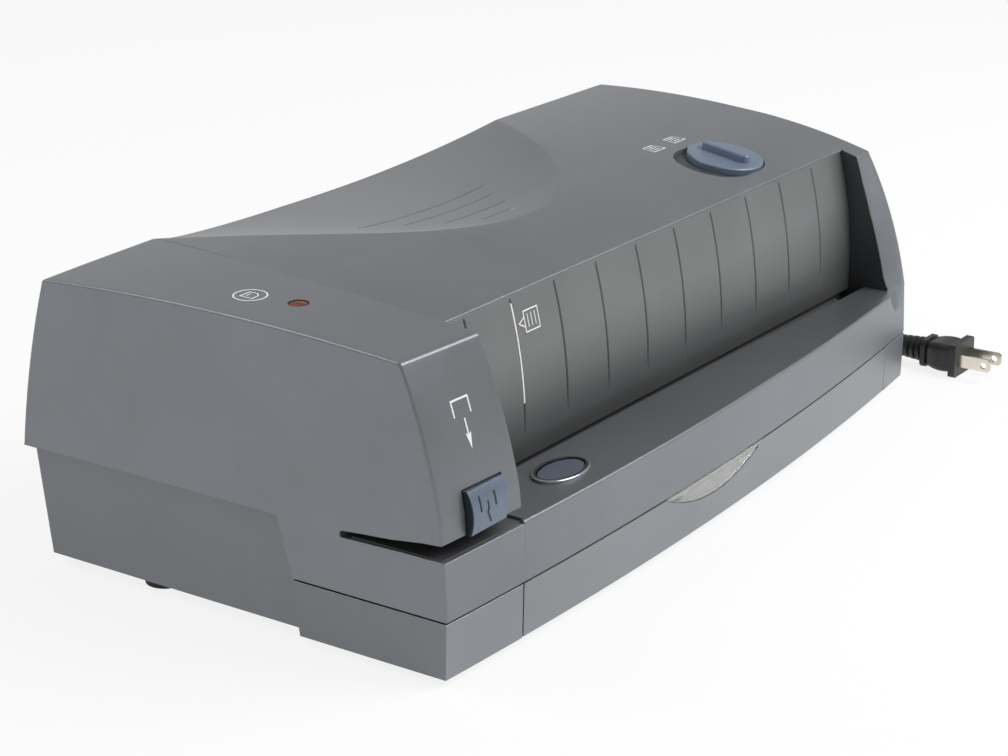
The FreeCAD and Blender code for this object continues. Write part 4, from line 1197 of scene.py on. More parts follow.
# ---------------------------------------------------------------- paper panel
@dataclass
class PaperPanel:
    """Grooved upright that the sheets lean on."""

    foot_y: float = 39.2
    foot_z: float = 47.6
    bend_z: float = 60.0
    top_z: float = 115.22
    radius: float = 193.5
    thick: float = 2.5
    x: Pair = (50.2, 393.0)
    ref: float = 200.0
    left_x: Pair = (51.0, 64.0)
    shaded_x: tuple = (372.0, 388.0, 1.0)
    first_groove: float = 78.1
    pitch: float = 31.5
    grooves: int = 10
    groove_width: float = 1.5
    groove_depth: float = 1.2
    groove_foot: Pair = (55.0, 16.0)
    groove_head: Pair = (1.2, 0.8)
    across: tuple = (-0.7, -0.5, -0.375, -0.25, -0.125, 0, 0.125, 0.25, 0.375, 0.5, 0.7)
    rim: tuple = (2.4, 2.0, 1.6, 1.2, 0.6, 0.0)
    end_curve: Pair = (5.0, 0.8)
    end_reach: float = 0.98
    end_shade: tuple = (0.5, 377.0, 14.0, 1.3)
    foot_shade: tuple = (0.42, 92.0, 30.0)
    side_on: float = 0.3

    def front_y(self, z: Points) -> Points:
        """y of the front at a height: an arc tangent to the upright foot."""
        rise = np.maximum(z - self.bend_z, 0.0)
        return self.foot_y + (self.radius - np.sqrt(self.radius ** 2 - rise ** 2))

    def shape(self, x: Points, y: Points, z: Points, o: Points) -> tuple[Points, Points, Points]:
        """Press the grooves into the front and bend its right end back.

        A groove is a squared cosine across its width, and it fades out towards the foot. The
        right end follows a quarter of an ellipse.

        Args:
            x: Place along the machine.
            y: Place across it.
            z: Height.
            o: The outline's columns.

        Returns:
            New x, y and z.
        """
        number = np.round((x - self.first_groove) / self.pitch)
        off = x - self.first_groove - np.clip(number, 0, self.grooves - 1) * self.pitch
        wave = np.cos(math.pi * off / self.groove_width) ** 2
        depth = self.groove_depth * np.where(np.abs(off) < self.groove_width / 2, wave, 0)
        margin, width = self.groove_head
        fade = ramp(z, *self.groove_foot) * np.clip((self.top_z - margin - z) / width, 0, 1)
        y = y + np.where(o[:, PART] == Part.WALL.value, depth * fade, 0.0)
        width, back = self.end_curve
        u = ramp(x, self.x[1] - width, width)
        return x, y + back * (1 - np.sqrt(1 - self.end_reach * u ** 2)), z

    def shade(self, centres: Points, normals: Points) -> Points:
        """Paint shade on the front towards its right end, as a power of the way, and towards its
        foot.

        Args:
            centres: Face centres in machine millimetres.
            normals: Their normals.

        Returns:
            Share for each face.
        """
        most, start, span, power = self.end_shade
        end = most * ramp(centres[:, 0], start, span) ** power
        most, top, span = self.foot_shade
        foot = most * np.clip((top - centres[:, 2]) / span, 0, 1)
        return (normals[:, 0] < self.side_on) * np.maximum(end, foot)

    def build(self, material: bpy.types.Material) -> Piece:
        """Make the panel.

        Args:
            material: Its finish.

        Returns:
            The piece.
        """
        z = np.concatenate([np.linspace(self.foot_z, self.top_z - 3, 42),
                            self.top_z - np.array(self.rim)])
        y = self.front_y(z)
        front, back = np.stack([y, z], axis=1), np.stack([y + self.thick, z], axis=1)[::-1]
        runs = [stretch(front, 0.6, left=0.3, right=0.5, part=Part.WALL),
                stretch(line(tuple(front[-1]), tuple(back[0])), 0.4), stretch(back),
                stretch(line(tuple(back[-1]), tuple(front[0])), 0.3)]
        middles = self.first_groove + self.pitch * np.arange(self.grooves)
        near = middles[:, None] + self.groove_width * np.array(self.across)
        bend = self.x[1] - self.end_curve[0] * (1 - np.sin(np.linspace(0, 1.5, 14)))
        stations = np.unique(np.concatenate([near.ravel(), self.left_x,
                                             np.arange(*self.shaded_x), bend]))
        panel = Sweep(joined(runs), self.ref).solid("paper_panel_front", self.x, stations,
                                                    self.shape, steps=3)
        dress(darken(panel, self.shade), material)
        return settle(panel, "root", "panel_grey", "paper_panel")


# ---------------------------------------------------------------- printed and relief marks
@dataclass
class Marks:
    """Signs on a moulding: thin ribbons that lie on its surface."""

    name: str
    place: OnSurface
    lift: float = 0.07
    root: float = 0.3
    step: float = 1.5
    sharpest: float = 0.5
    points: list = field(default_factory=list)
    faces: list = field(default_factory=list)

    def stroke(self, path: list[Pair], width: float, closed: bool = False) -> None:
        """Add a ribbon along a path in the surface's own two directions.

        Each point is pushed sideways by half the width along the mean of the normals of its two
        segments, and the section is a flat rectangle.

        Args:
            path: Points in the surface's directions.
            width: Width of the ribbon.
            closed: Whether it ends where it starts.
        """
        p = np.array(path, float)
        if closed:
            p = np.concatenate([p, p[:1]])
        pieces = [np.linspace(a, b, max(2, int(np.linalg.norm(b - a) / self.step) + 1))[:-1]
                  for a, b in zip(p, p[1:])]
        p = np.concatenate(pieces + [p[-1:]])
        along = np.diff(p, axis=0)
        along /= np.linalg.norm(along, axis=1, keepdims=True)
        before = np.concatenate([along[-1:] if closed else along[:1], along])
        after = np.concatenate([along, along[:1] if closed else along[-1:]])
        mean = before + after
        mean /= np.maximum(np.linalg.norm(mean, axis=1, keepdims=True), WELD)
        mitre = 1.0 / np.maximum(np.sum(mean * after, axis=1, keepdims=True), self.sharpest)
        side = np.stack([-mean[:, 1], mean[:, 0]], axis=1) * width / 2 * mitre
        rails = ((p + side, self.lift), (p - side, self.lift), (p - side, -self.root),
                 (p + side, -self.root))
        rows = np.stack([self.place(*uv.T, height) for uv, height in rails], axis=1)
        self.add(rows.reshape(-1, 3), grid_faces(len(p), 4) + caps(len(p), 4))

    def patch(self, corners: list[Pair]) -> None:
        """Add a filled convex patch such as half an arrow's head.

        Args:
            corners: Its corners in the surface's directions.
        """
        n, uv = len(corners), np.array(corners, float)
        both = [self.place(*uv.T, height) for height in (self.lift, -self.root)]
        sides = [[i, (i + 1) % n, n + (i + 1) % n, n + i] for i in range(n)]
        self.add(np.concatenate(both), [list(range(n)), list(range(n, 2 * n))[::-1], *sides])

    def add(self, points: Points, faces: list) -> None:
        """Add points and the faces between them.

        Args:
            points: (n, 3) array.
            faces: Vertex index lists, counted from the first of them.
        """
        start = len(self.points)
        self.points.extend(points.tolist())
        self.faces += [[start + i for i in face] for face in faces]

    def build(self, material: bpy.types.Material, body: str = "root") -> Piece:
        """Make the piece.

        Args:
            material: Its finish.
            body: Body that it rides on.

        Returns:
            The piece.
        """
        piece = add_mesh(self.name, np.array(self.points), self.faces, smooth=False)
        face_outwards(piece.data)
        dress(piece, material)
        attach(piece, body)
        return piece


def on_head_front(x: Points, z: Points, height: float) -> Points:
    """Places on the head's front face, lifted off it towards the front."""
    depth = -on_circle(*((high, -back) for back, high in reversed(CASE.head_front)), z)
    return np.stack([x, CASE.front(depth, x) - height, z], axis=1)


def on_head_top(x: Points, y: Points, height: float) -> Points:
    """Places on the head's top."""
    return np.stack([x, y, CASE.head_top(x, y) + height], axis=1)


def on_main_top(x: Points, y: Points, height: float) -> Points:
    """Places on the top right of the head."""
    return np.stack([x, y, CASE.main_top(x, y) + height], axis=1)


def on_panel(x: Points, z: Points, height: float) -> Points:
    """Places on the paper panel's front."""
    return np.stack([x, PaperPanel().front_y(z) - height, z], axis=1)


@dataclass
class Signs:
    """Generic printed signs, each from its own strokes on the surface that it lies on."""

    bold: float = 0.7
    plain: float = 0.5
    fine: float = 0.45
    ready: tuple = (22.5, 107.3, 6.6, 6.6, 40)
    guide_x: float = 109.6
    settings: tuple = ((311.5, 103.5), (331.5, 104.5))

    def staple(self) -> Marks:
        """A staple over an arrow that points into the throat, on the head's front.

        Returns:
            The sign.
        """
        sign = Marks("print_staple", on_head_front)
        sign.stroke([(19.3, 98.6), (19.3, 104.5), (29.0, 104.5), (29.0, 98.6)], self.bold)
        sign.stroke([(24.6, 97.4), (24.7, 91.0)], self.bold)
        sign.patch([(25.0, 86.0), (26.3, 92.1), (24.8, 91.2)])
        sign.patch([(25.0, 86.0), (24.8, 91.2), (23.2, 92.1)])
        return sign

    def ready_ring(self) -> Marks:
        """A sheet with a cut corner in a ring, on the head's top.

        Returns:
            The sign.
        """
        sign = Marks("print_ready_ring", on_head_top)
        sign.stroke(ellipse(*self.ready).tolist(), 0.6, closed=True)
        sign.stroke([(19.6, 104.2), (19.6, 110.0), (25.4, 110.0), (25.4, 106.0), (23.4, 104.2)],
                    self.plain, closed=True)
        sign.stroke([(21.2, 108.2), (23.8, 108.2)], self.fine)
        return sign

    def sheet_guide(self) -> Marks:
        """A guide line and a lined sheet with an arrow to it, on the panel.

        Returns:
            The sign.
        """
        sign = Marks("print_sheet_guide", on_panel)
        sign.stroke([(self.guide_x, 71.4), (self.guide_x, 112.2)], 0.8)
        sign.stroke([(116.2, 99.0), (116.2, 107.4), (126.0, 107.4), (126.0, 99.0), (116.2, 99.0)],
                    self.plain)
        for x in (118.6, 121.1, 123.6):
            sign.stroke([(x, 100.6), (x, 106.0)], self.fine)
        sign.stroke([(116.2, 101.2), (112.2, 103.2), (116.2, 105.2)], self.plain)
        return sign

    def selector_settings(self) -> Marks:
        """Two lined sheets beside the selector.

        Returns:
            The sign.
        """
        sign = Marks("print_settings", on_main_top)
        for cx, cy in self.settings:
            sign.stroke([(cx - 4.5, cy - 3.2), (cx - 4.5, cy + 3.4), (cx + 3.2, cy + 3.4),
                         (cx + 5.0, cy - 3.2)], self.fine, closed=True)
            for k in (-1.4, 0.4, 2.0):
                sign.stroke([(cx - 2.8, cy + k), (cx + 2.4, cy + k)], 0.4)
        return sign

    def build(self, ink: bpy.types.Material) -> list[Piece]:
        """Make all signs.

        Args:
            ink: Material of the print.

        Returns:
            The pieces.
        """
        signs = (self.staple(), self.ready_ring(), self.sheet_guide(), self.selector_settings())
        return [sign.build(ink) for sign in signs]


# ---------------------------------------------------------------- nose button and lamp
@dataclass
class NoseButton:
    """Push button in the head's nose: a bulging face with a relief sign on it."""

    x: Pair = (14.9, 37.9)
    z: Pair = (55.8, 72.8)
    low_y: float = -1.2
    middle_y: float = -2.2
    high_y: float = 0.8
    back: float = 6.6
    back_foot: float = 1.5
    edge: float = 0.5
    inset: float = 0.8
    ref: float = 26.0
    rib: float = 0.6
    rib_lift: float = 0.3
    ribs: tuple = (((20.2, 70.0), (20.2, 64.3)), ((29.6, 69.6), (29.6, 64.2)),
                   ((24.9, 67.2), (25.0, 64.3), (24.2, 63.0), (26.4, 58.6)))
    side_shade: Facing = Facing(0, -1, 0.5, 0.9)
    top_shade: Facing = Facing(2, 1, 0.8, 0.6)
    least_shade: float = 0.25
    rib_shade: Even = Even(0.8)

    def face(self, x: Points, z: Points, height: float) -> Points:
        """Places on the face: an arc from top to bottom, lifted towards the front.

        Args:
            x: Place along the machine.
            z: Height.
            height: Distance off the face.

        Returns:
            (n, 3) array.
        """
        low, high = self.z
        y = -on_circle((low, -self.low_y), ((low + high) / 2, -self.middle_y),
                       (high, -self.high_y), z)
        return np.stack([x, y - height, z], axis=1)

    def shade(self, centres: Points, normals: Points) -> Points:
        """Painted shade: most on the left side, then on the top, and a little on the rest."""
        most = np.maximum(self.side_shade(centres, normals), self.top_shade(centres, normals))
        return np.maximum(most, self.least_shade)

    def build(self, material: bpy.types.Material) -> list[Piece]:
        """Make the button and the ribs of its sign.

        Args:
            material: Their finish.

        Returns:
            The two pieces.
        """
        low, high = self.z
        z = np.linspace(low, high, 24)
        front = self.face(z, z, 0.0)[::-1, 1:]
        corners = (tuple(front[-1]), (self.back, low + self.back_foot), (self.back, high),
                   tuple(front[0]))
        runs = [stretch(front, 0.3, left=self.edge, right=self.edge),
                *(stretch(line(a, b), radius)
                  for a, b, radius in zip(corners, corners[1:], (0.0, 0.0, 0.3)))]
        stations = np.linspace(self.x[0] + self.inset, self.x[1] - self.inset, 12)
        block = Sweep(joined(runs), self.ref).solid("nose_button", self.x, stations, steps=4)
        dress(darken(block, self.shade), material)
        sign = Marks("nose_sign", self.face, self.rib_lift)
        for path in self.ribs:
            sign.stroke(path, self.rib)
        # The ribs get painted shade, standing in for the shadows of the relief.
        ribs = darken(sign.build(material, "nose"), self.rib_shade)
        return [settle(block, "nose", "button_blue", "release_nose"), ribs]


@dataclass
class LampLens:
    """Domed red lens of the indicator, set in a dark rim just under the surface."""

    radius: float = 4.1
    rim: float = 0.7
    dome: float = 0.5
    sink: float = 0.25
    deep: float = 4.0
    bore: float = 0.3
    groove: Pair = (0.15, 0.3)
    rim_top: float = 0.1
    margin: float = 0.1
    around: int = 48

    def profile(self) -> Points:
        """Radius and height of the section: dome, groove, rim and side.

        Returns:
            (n, 2) array.
        """
        r, inner = self.radius, self.radius - self.rim
        width, depth = self.groove
        return np.array([(self.bore, self.dome), (inner * 0.5, self.dome * 0.75),
                         (inner * 0.85, self.dome * 0.28), (inner, 0.0), (inner, -depth),
                         (inner + width, -depth), (inner + width, self.rim_top),
                         (r, self.rim_top), (r, -self.deep), (self.bore, -self.deep)])

    def shade(self, centres: Points, normals: Points) -> Points:
        """Blacken the groove and the rim."""
        from_axis = np.hypot(centres[:, 0] - CASE.lamp[0], centres[:, 1] - CASE.lamp[1])
        return 1.0 * (from_axis > self.radius - self.rim - self.margin)

    def build(self, material: bpy.types.Material) -> Piece:
        """Turn the section about the lamp's axis, on the head's sloping top.

        Args:
            material: Its finish.

        Returns:
            The piece.
        """
        profile = self.profile()
        a = np.linspace(0, 2 * math.pi, self.around, endpoint=False)[:, None]
        x = CASE.lamp[0] + profile[:, 0] * np.cos(a)
        y = CASE.lamp[1] + profile[:, 0] * np.sin(a)
        z = CASE.head_top(x, y) - self.sink + profile[:, 1]
        n, total = len(profile), len(profile) * self.around
        faces = (np.array(grid_faces(self.around + 1, n, close=False)) % total).tolist()
        faces += [list(range(0, total, n)), list(range(n - 1, total, n))[::-1]]
        lens = add_mesh("lamp_dome", np.stack([x, y, z], axis=-1).reshape(-1, 3), faces)
        dress(darken(finish_mesh(lens), self.shade), material)
        return settle(lens, "root", "lamp_red", "lamp_lens")


# ---------------------------------------------------------------- cord
@dataclass
class PowerCord:
    """Mains lead: tail out of the gland, a round coil behind the machine, a lead to the plug."""

    diameter: float = 6.4
    tail: tuple = ((300.0, 226.0, 22.0), (300.6, 240.0, 18.6), (303.5, 254.0, 10.5),
                   (308.5, 266.0, 5.2))
    lead: tuple = ((384.0, 309.5, 12.0), (411.0, 301.0, 6.0), (430.0, 280.0, 3.5),
                   (437.0, 250.0, 3.3), (438.0, 205.0, 3.3), (434.0, 160.0, 3.3),
                   (436.0, 115.0, 3.3), (435.5, 78.0, 3.7), (435.0, 56.0, 7.2),
                   (435.0, 41.0, 8.6))
    centre: Pair = (356.0, 266.0)
    outer: float = 42.6
    pitch: float = 6.5
    layer_turns: float = 2.6
    top_turns: float = 1.0
    climb_turns: float = 0.22
    start_angle: float = 167.0
    per_turn: int = 14
    rest_gap: float = 0.05
    layer_gap: float = 0.1
    length: float = 1.775

    def coil(self) -> Points:
        """Control points of the coil.

        The cord spirals inwards on the table, climbs one diameter, spirals outwards and ends
        with one turn on top. A spline of order 3 runs inside a circle of n control points by the
        cosine of a half step, so they stand further out by as much.

        Returns:
            (n, 3) array.
        """
        folds = (self.layer_turns, 2 * self.layer_turns)
        total = folds[1] + self.top_turns
        t = np.linspace(0, total, int(total * self.per_turn) + 1)
        folded = np.minimum(t, np.abs(folds[1] - t))
        radius = self.outer - self.pitch * np.where(t > folds[1], 0.0, folded)
        radius = radius / math.cos(math.pi / self.per_turn)
        climb = sum(np.clip((t - fold) / self.climb_turns + 0.5, 0, 1) for fold in folds)
        height = self.diameter / 2 + self.rest_gap + (self.diameter + self.layer_gap) * climb
        angle = math.radians(self.start_angle) - 2 * math.pi * t
        return np.stack([self.centre[0] + radius * np.cos(angle),
                         self.centre[1] + radius * np.sin(angle), height], axis=1)

    def build(self, material: bpy.types.Material, carried: list[Piece]) -> Piece:
        """Make the cord as one spline.

        Args:
            material: Its finish.
            carried: The plug's pieces; not used.

        Returns:
            The curve object.
        """
        points = to_row(np.concatenate([np.array(self.tail), self.coil(), np.array(self.lead)]))
        curve = bpy.data.curves.new("power_cord", "CURVE")
        curve.dimensions, curve.bevel_depth = "3D", self.diameter / 2000.0
        curve.bevel_resolution, curve.resolution_u, curve.use_fill_caps = 5, 8, True
        spline = curve.splines.new("NURBS")
        spline.points.add(len(points) - 1)
        spline.points.foreach_set("co", np.c_[points, np.ones(len(points))].ravel())
        spline.order_u, spline.use_endpoint_u, spline.use_smooth = 3, True, True
        piece = linked("power_cord", curve)
        dress(piece, material)
        settle(piece, "root", "cord_black", "cord_tail", "cord_coil", "cord_lead")
        return piece


# ---------------------------------------------------------------- finishes
def new_node(tree: bpy.types.NodeTree, kind: str, values: dict | None = None,
             **properties: object) -> bpy.types.Node:
    """Add a node, set its properties and its inputs.

    Args:
        tree: Tree that it is added to.
        kind: Node type without the ShaderNode prefix.
        values: Input name or index to a value or to an output socket.
        properties: Node properties.

    Returns:
        The node.
    """
    made = tree.nodes.new("ShaderNode" + kind)
    for key, value in properties.items():
        setattr(made, key, value)
    for key, value in (values or {}).items():
        socket = made.inputs[key]
        if isinstance(value, bpy.types.NodeSocket):
            tree.links.new(value, socket)
        else:
            socket.default_value = value
    return made


def new_material(name: str) -> tuple[bpy.types.Material, bpy.types.NodeTree, bpy.types.Node]:
    """Make a node material.

    Args:
        name: Its name.

    Returns:
        The material, its tree and its Principled shader.
    """
    made = bpy.data.materials.new(name)
    made.use_nodes = True
    return made, made.node_tree, made.node_tree.nodes["Principled BSDF"]


def mixed(tree: bpy.types.NodeTree, amount: bpy.types.NodeSocket, first: object,
          second: object) -> bpy.types.NodeSocket:
    """Mix two colours.

    Args:
        tree: Tree that the node is added to.
        amount: Share of the second colour.
        first: Colour with alpha, or a socket.
        second: Colour with alpha, or a socket.

    Returns:
        The mixed colour.
    """
    return new_node(tree, "Mix", {0: amount, 6: first, 7: second}, data_type="RGBA").outputs[2]


def scaled(colour: Colour, factor: float) -> tuple[float, float, float, float]:
    """A colour times a factor, with full alpha."""
    return (*(factor * channel for channel in colour), 1.0)


def new_group(name: str, inputs: dict[str, float], outputs: tuple[str, ...]) -> tuple:
    """Make a node group of float sockets.

    Args:
        name: Group name.
        inputs: Input name to default.
        outputs: Output names.

    Returns:
        The group, and its input and output node.
    """
    group = bpy.data.node_groups.new(name, "ShaderNodeTree")
    for socket, default in inputs.items():
        made = group.interface.new_socket(name=socket, in_out="INPUT",
                                          socket_type="NodeSocketFloat")
        made.default_value = default
    for socket in outputs:
        group.interface.new_socket(name=socket, in_out="OUTPUT", socket_type="NodeSocketFloat")
    return group, group.nodes.new("NodeGroupInput"), group.nodes.new("NodeGroupOutput")


class Texture(Enum):
    """Shared surface effects."""

    MOULDED = "moulded grain"
    BRUSHED = "brushed lines"


def moulded_grain() -> None:
    """Group for moulded plastic: a fine spark-eroded grain, a slow change of tone and dust.

    Its inputs are Grain Scale and Tone Scale, and its outputs Height, Tone and Dust. Dust lies
    where the surface looks up, in fine specks.
    """
    group, start, end = new_group(Texture.MOULDED.value,
                                  {"Grain Scale": 1800.0, "Tone Scale": 18.0},
                                  ("Height", "Tone", "Dust"))
    place = new_node(group, "TexCoord").outputs["Object"]
    grain, tone = start.outputs["Grain Scale"], start.outputs["Tone Scale"]
    fine = new_node(group, "TexNoise", {"Vector": place, "Scale": grain, "Detail": 3.0,
                                        "Roughness": 0.6})
    pits = new_node(group, "TexVoronoi", {"Vector": place, "Scale": grain})
    height = new_node(group, "Math", {0: fine.outputs[0], 1: pits.outputs["Distance"]},
                      operation="ADD")
    slow = new_node(group, "TexNoise", {"Vector": place, "Scale": tone, "Detail": 5.0,
                                        "Roughness": 0.62})
    normal = new_node(group, "NewGeometry").outputs["Normal"]
    upward = new_node(group, "SeparateXYZ", {0: normal}).outputs["Z"]
    specks = new_node(group, "TexNoise", {"Vector": place, "Scale": 420.0, "Detail": 2.0})
    lying = new_node(group, "Math", {0: upward, 1: specks.outputs[0]}, operation="MULTIPLY",
                     use_clamp=True)
    for name, node in (("Height", height), ("Tone", slow), ("Dust", lying)):
        group.links.new(node.outputs[0], end.inputs[name])


def brushed_lines() -> None:
    """Group for rolled or ground metal: fine lines along x, with outputs Height and Tone."""
    group, _, end = new_group(Texture.BRUSHED.value, {}, ("Height", "Tone"))
    place = new_node(group, "TexCoord").outputs["Object"]
    drawn = new_node(group, "Mapping", {"Vector": place, "Scale": (60.0, 2600.0, 2600.0)})
    fine = new_node(group, "TexNoise", {"Vector": drawn.outputs[0], "Scale": 1.0, "Detail": 4.0})
    slow = new_node(group, "TexNoise", {"Vector": place, "Scale": 60.0, "Detail": 3.0})
    group.links.new(fine.outputs[0], end.inputs["Height"])
    group.links.new(slow.outputs[0], end.inputs["Tone"])


@dataclass(frozen=True)
class Finish:
    """Opaque finish: a colour that drifts between two tones, with its own grain and gloss."""

    slot: str
    colour: Colour
    rough: float = 0.45
    metallic: float = 0.0
    texture: Texture = Texture.MOULDED
    tone: float = 0.12
    bump: float = 0.02
    grain: float = 1800.0
    coat: float = 0.0
    dust: float = 0.0
    rough_drift: float = 0.08
    tone_scale: float = 18.0
    tone_span: Pair = (0.3, 0.7)
    rough_span: Pair = (0.25, 0.75)
    dust_colour: tuple = (0.5, 0.5, 0.48, 1.0)
    shaded: float = 0.04

    def material(self) -> bpy.types.Material:
        """Build the node material.

        The tone mixes a darker and a lighter colour, dust lies over them, and the piece's own
        shade attribute mixes the result towards a dark one.

        Returns:
            The material, named after the slot.
        """
        made, tree, shader = new_material(self.slot)
        effect = new_node(tree, "Group")
        effect.node_tree = bpy.data.node_groups[self.texture.value]
        if self.texture is Texture.MOULDED:
            effect.inputs["Grain Scale"].default_value = self.grain
            effect.inputs["Tone Scale"].default_value = self.tone_scale
        tone = effect.outputs["Tone"]
        low, high = self.tone_span
        share = new_node(tree, "MapRange", {0: tone, 1: low, 2: high}).outputs[0]
        colour = mixed(tree, share, scaled(self.colour, 1 - self.tone),
                       scaled(self.colour, 1 + self.tone))
        if self.dust:
            amount = new_node(tree, "Math", {0: effect.outputs["Dust"], 1: self.dust},
                              operation="MULTIPLY").outputs[0]
            colour = mixed(tree, amount, colour, self.dust_colour)
        shade = new_node(tree, "Attribute", attribute_name="shade").outputs["Fac"]
        colour = mixed(tree, shade, colour, scaled(self.colour, self.shaded))
        low, high = self.rough_span
        half = self.rough_drift / 2
        rough = new_node(tree, "MapRange", {0: tone, 1: low, 2: high, 3: self.rough - half,
                                            4: self.rough + half}).outputs[0]
        bump = new_node(tree, "Bump", {"Height": effect.outputs["Height"], "Strength": 1.0,
                                       "Distance": self.bump / 1000.0}).outputs[0]
        for name, socket in (("Base Color", colour), ("Roughness", rough), ("Normal", bump)):
            tree.links.new(socket, shader.inputs[name])
        shader.inputs["Metallic"].default_value = self.metallic
        shader.inputs["Coat Weight"].default_value = self.coat
        return made


@dataclass(frozen=True)
class ClearPlastic:
    """Clear moulding with a slight haze that drifts over it."""

    slot: str
    tint: Colour
    rough: tuple[float, float] = (0.13, 0.26)
    haze: float = 90.0
    clear: float = 0.75
    ior: float = 1.49

    def material(self) -> bpy.types.Material:
        """Build the node material.

        Returns:
            The material, named after the slot.
        """
        made, tree, shader = new_material(self.slot)
        place = new_node(tree, "TexCoord").outputs["Object"]
        haze = new_node(tree, "TexNoise", {"Vector": place, "Scale": self.haze}).outputs[0]
        low, high = self.rough
        rough = new_node(tree, "MapRange", {0: haze, 3: low, 4: high})
        tree.links.new(rough.outputs[0], shader.inputs["Roughness"])
        shader.inputs["Base Color"].default_value = (*self.tint, 1)
        shader.inputs["Transmission Weight"].default_value = self.clear
        shader.inputs["IOR"].default_value = self.ior
        return made


BRUSHED = Texture.BRUSHED
SOFT_GREY = {"rough": 0.38, "metallic": 0.60, "tone": 0.06, "rough_drift": 0.05}
FINISHES = (
    Finish("cover_grey", (0.215, 0.228, 0.245), dust=0.02, **SOFT_GREY),
    Finish("base_grey", (0.262, 0.275, 0.296), **SOFT_GREY),
    Finish("tray_grey", (0.262, 0.275, 0.292), **SOFT_GREY),
    Finish("panel_grey", (0.192, 0.200, 0.202), 0.42, 0.55, tone=0.06, rough_drift=0.05),
    Finish("anvil_grey", (0.110, 0.112, 0.118), 0.36, 0.5, BRUSHED, bump=0.01),
    Finish("foot_rubber", (0.020, 0.020, 0.021), 0.75, bump=0.05, grain=900.0),
    Finish("bright_steel", (0.55, 0.55, 0.56), 0.30, 1.0, BRUSHED, bump=0.01),
    Finish("tool_steel", (0.42, 0.42, 0.43), 0.26, 1.0, BRUSHED, bump=0.008),
    Finish("chrome_steel", (0.60, 0.60, 0.62), 0.16, 1.0, BRUSHED, bump=0.004),
    Finish("bronze", (0.55, 0.38, 0.16), 0.38, 1.0, BRUSHED, bump=0.02),
    Finish("gear_plastic", (0.74, 0.72, 0.65), 0.42),
    Finish("staple_wire", (0.62, 0.62, 0.63), 0.20, 1.0, BRUSHED, bump=0.004),
    Finish("button_blue", (0.170, 0.215, 0.290), 0.34, 0.25, tone=0.08),
    Finish("bezel_metal", (0.42, 0.44, 0.46), 0.24, 0.8, BRUSHED, bump=0.004),
    Finish("lamp_red", (0.150, 0.042, 0.012), 0.50, tone=0.97, tone_scale=420.0, bump=0.05,
           grain=700.0),
    Finish("coil_red", (0.35, 0.10, 0.03), 0.30, coat=0.3, tone=0.3),
    Finish("board_green", (0.045, 0.16, 0.075), 0.32, coat=0.3, tone=0.2),
    Finish("core_iron", (0.10, 0.10, 0.11), 0.5, 0.8, BRUSHED, bump=0.05),
    Finish("cord_black", (0.018, 0.018, 0.019), 0.42, tone=0.25, bump=0.03, grain=1200.0),
    Finish("blade_metal", (0.70, 0.66, 0.56), 0.22, 1.0, BRUSHED, bump=0.004),
    # Near-black steel: painted shade of the paper slot that the pin guide stands in.
    Finish("blackened_steel", (0.022, 0.022, 0.024), 0.55, 0.4, BRUSHED, bump=0.02),
    Finish("print_white", (0.80, 0.80, 0.79), 0.55, tone=0.04, bump=0.01),
    ClearPlastic("clear_window", (0.86, 0.87, 0.84)),
)
# The pin guide is painted near black as painted shade of the paper slot.
LOOKS = {"pin_guide": "blackened_steel"}


# ---------------------------------------------------------------- carried-over parts
@dataclass(frozen=True)
class Squeeze:
    """A spring's joint, fixed foot and least share of its length; a spring that has one gets its
    own mesh.
    """

    joint: str
    foot: tuple[float, float, float]
    keep: float


@dataclass(frozen=True)
class Carried:
    """A part whose solid is right: it is copied, welded, and given small broken edges."""

    node: str
    body: str
    slot: str
    edge: float = 0.0
    shade: Rule | None = None
    squeeze: Squeeze | None = None
    weld: float = 2e-6
    flat_angle: float = 0.4
    sharp_angle: float = 30.0
    bevel_angle: float = 40.0

    def mesh(self) -> bpy.types.Mesh:
        """Copy the solid's mesh with its triangles merged into flat faces.

        Returns:
            The copy.
        """
        mesh = frame["nodes"][self.node].data.copy()
        shell = bmesh.new()
        shell.from_mesh(mesh)
        bmesh.ops.remove_doubles(shell, verts=shell.verts, dist=self.weld)
        bmesh.ops.dissolve_limit(shell, angle_limit=math.radians(self.flat_angle),
                                 verts=shell.verts, edges=shell.edges)
        shell.to_mesh(mesh)
        shell.free()
        mesh.polygons.foreach_set("use_smooth", [True] * len(mesh.polygons))
        mesh.set_sharp_from_angle(angle=math.radians(self.sharp_angle))
        return mesh

    def build(self, materials: dict[str, bpy.types.Material]) -> Piece:
        """Make the copy and put it in the solid's place.

        Args:
            materials: Slot name to material.

        Returns:
            The piece.
        """
        piece = linked(self.node + "_form", self.mesh())
        piece.data.name = piece.name
        if self.edge:
            soft = piece.modifiers.new("broken edges", "BEVEL")
            soft.width, soft.segments, soft.limit_method = self.edge / 1000.0, 3, "ANGLE"
            soft.angle_limit, soft.harden_normals = math.radians(self.bevel_angle), False
            soft.use_clamp_overlap = True
        if self.shade:
            darken(piece, self.shade)
        flat = piece.modifiers.new("keep flat faces flat", "WEIGHTED_NORMAL")
        flat.keep_sharp = not self.edge
        dress(piece, materials[self.slot])
        settle(piece, self.body, self.slot, self.node)
        if self.squeeze:
            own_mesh(piece)
        return piece


def bezel_gap_shade(centres: Points, normals: Points) -> Points:
    """Rule that paints shade on the inner part of the ring round the oval button, where its gap
    lies.

    Args:
        centres: Face centres in machine millimetres.
        normals: Their normals.

    Returns:
        Share for each face.
    """
    deep, inner = 0.85, 0.93
    (cx, cy), (rx, ry) = CASE.oval, CASE.oval_radii
    return deep * (np.hypot((centres[:, 0] - cx) / rx, (centres[:, 1] - cy) / ry) < inner)


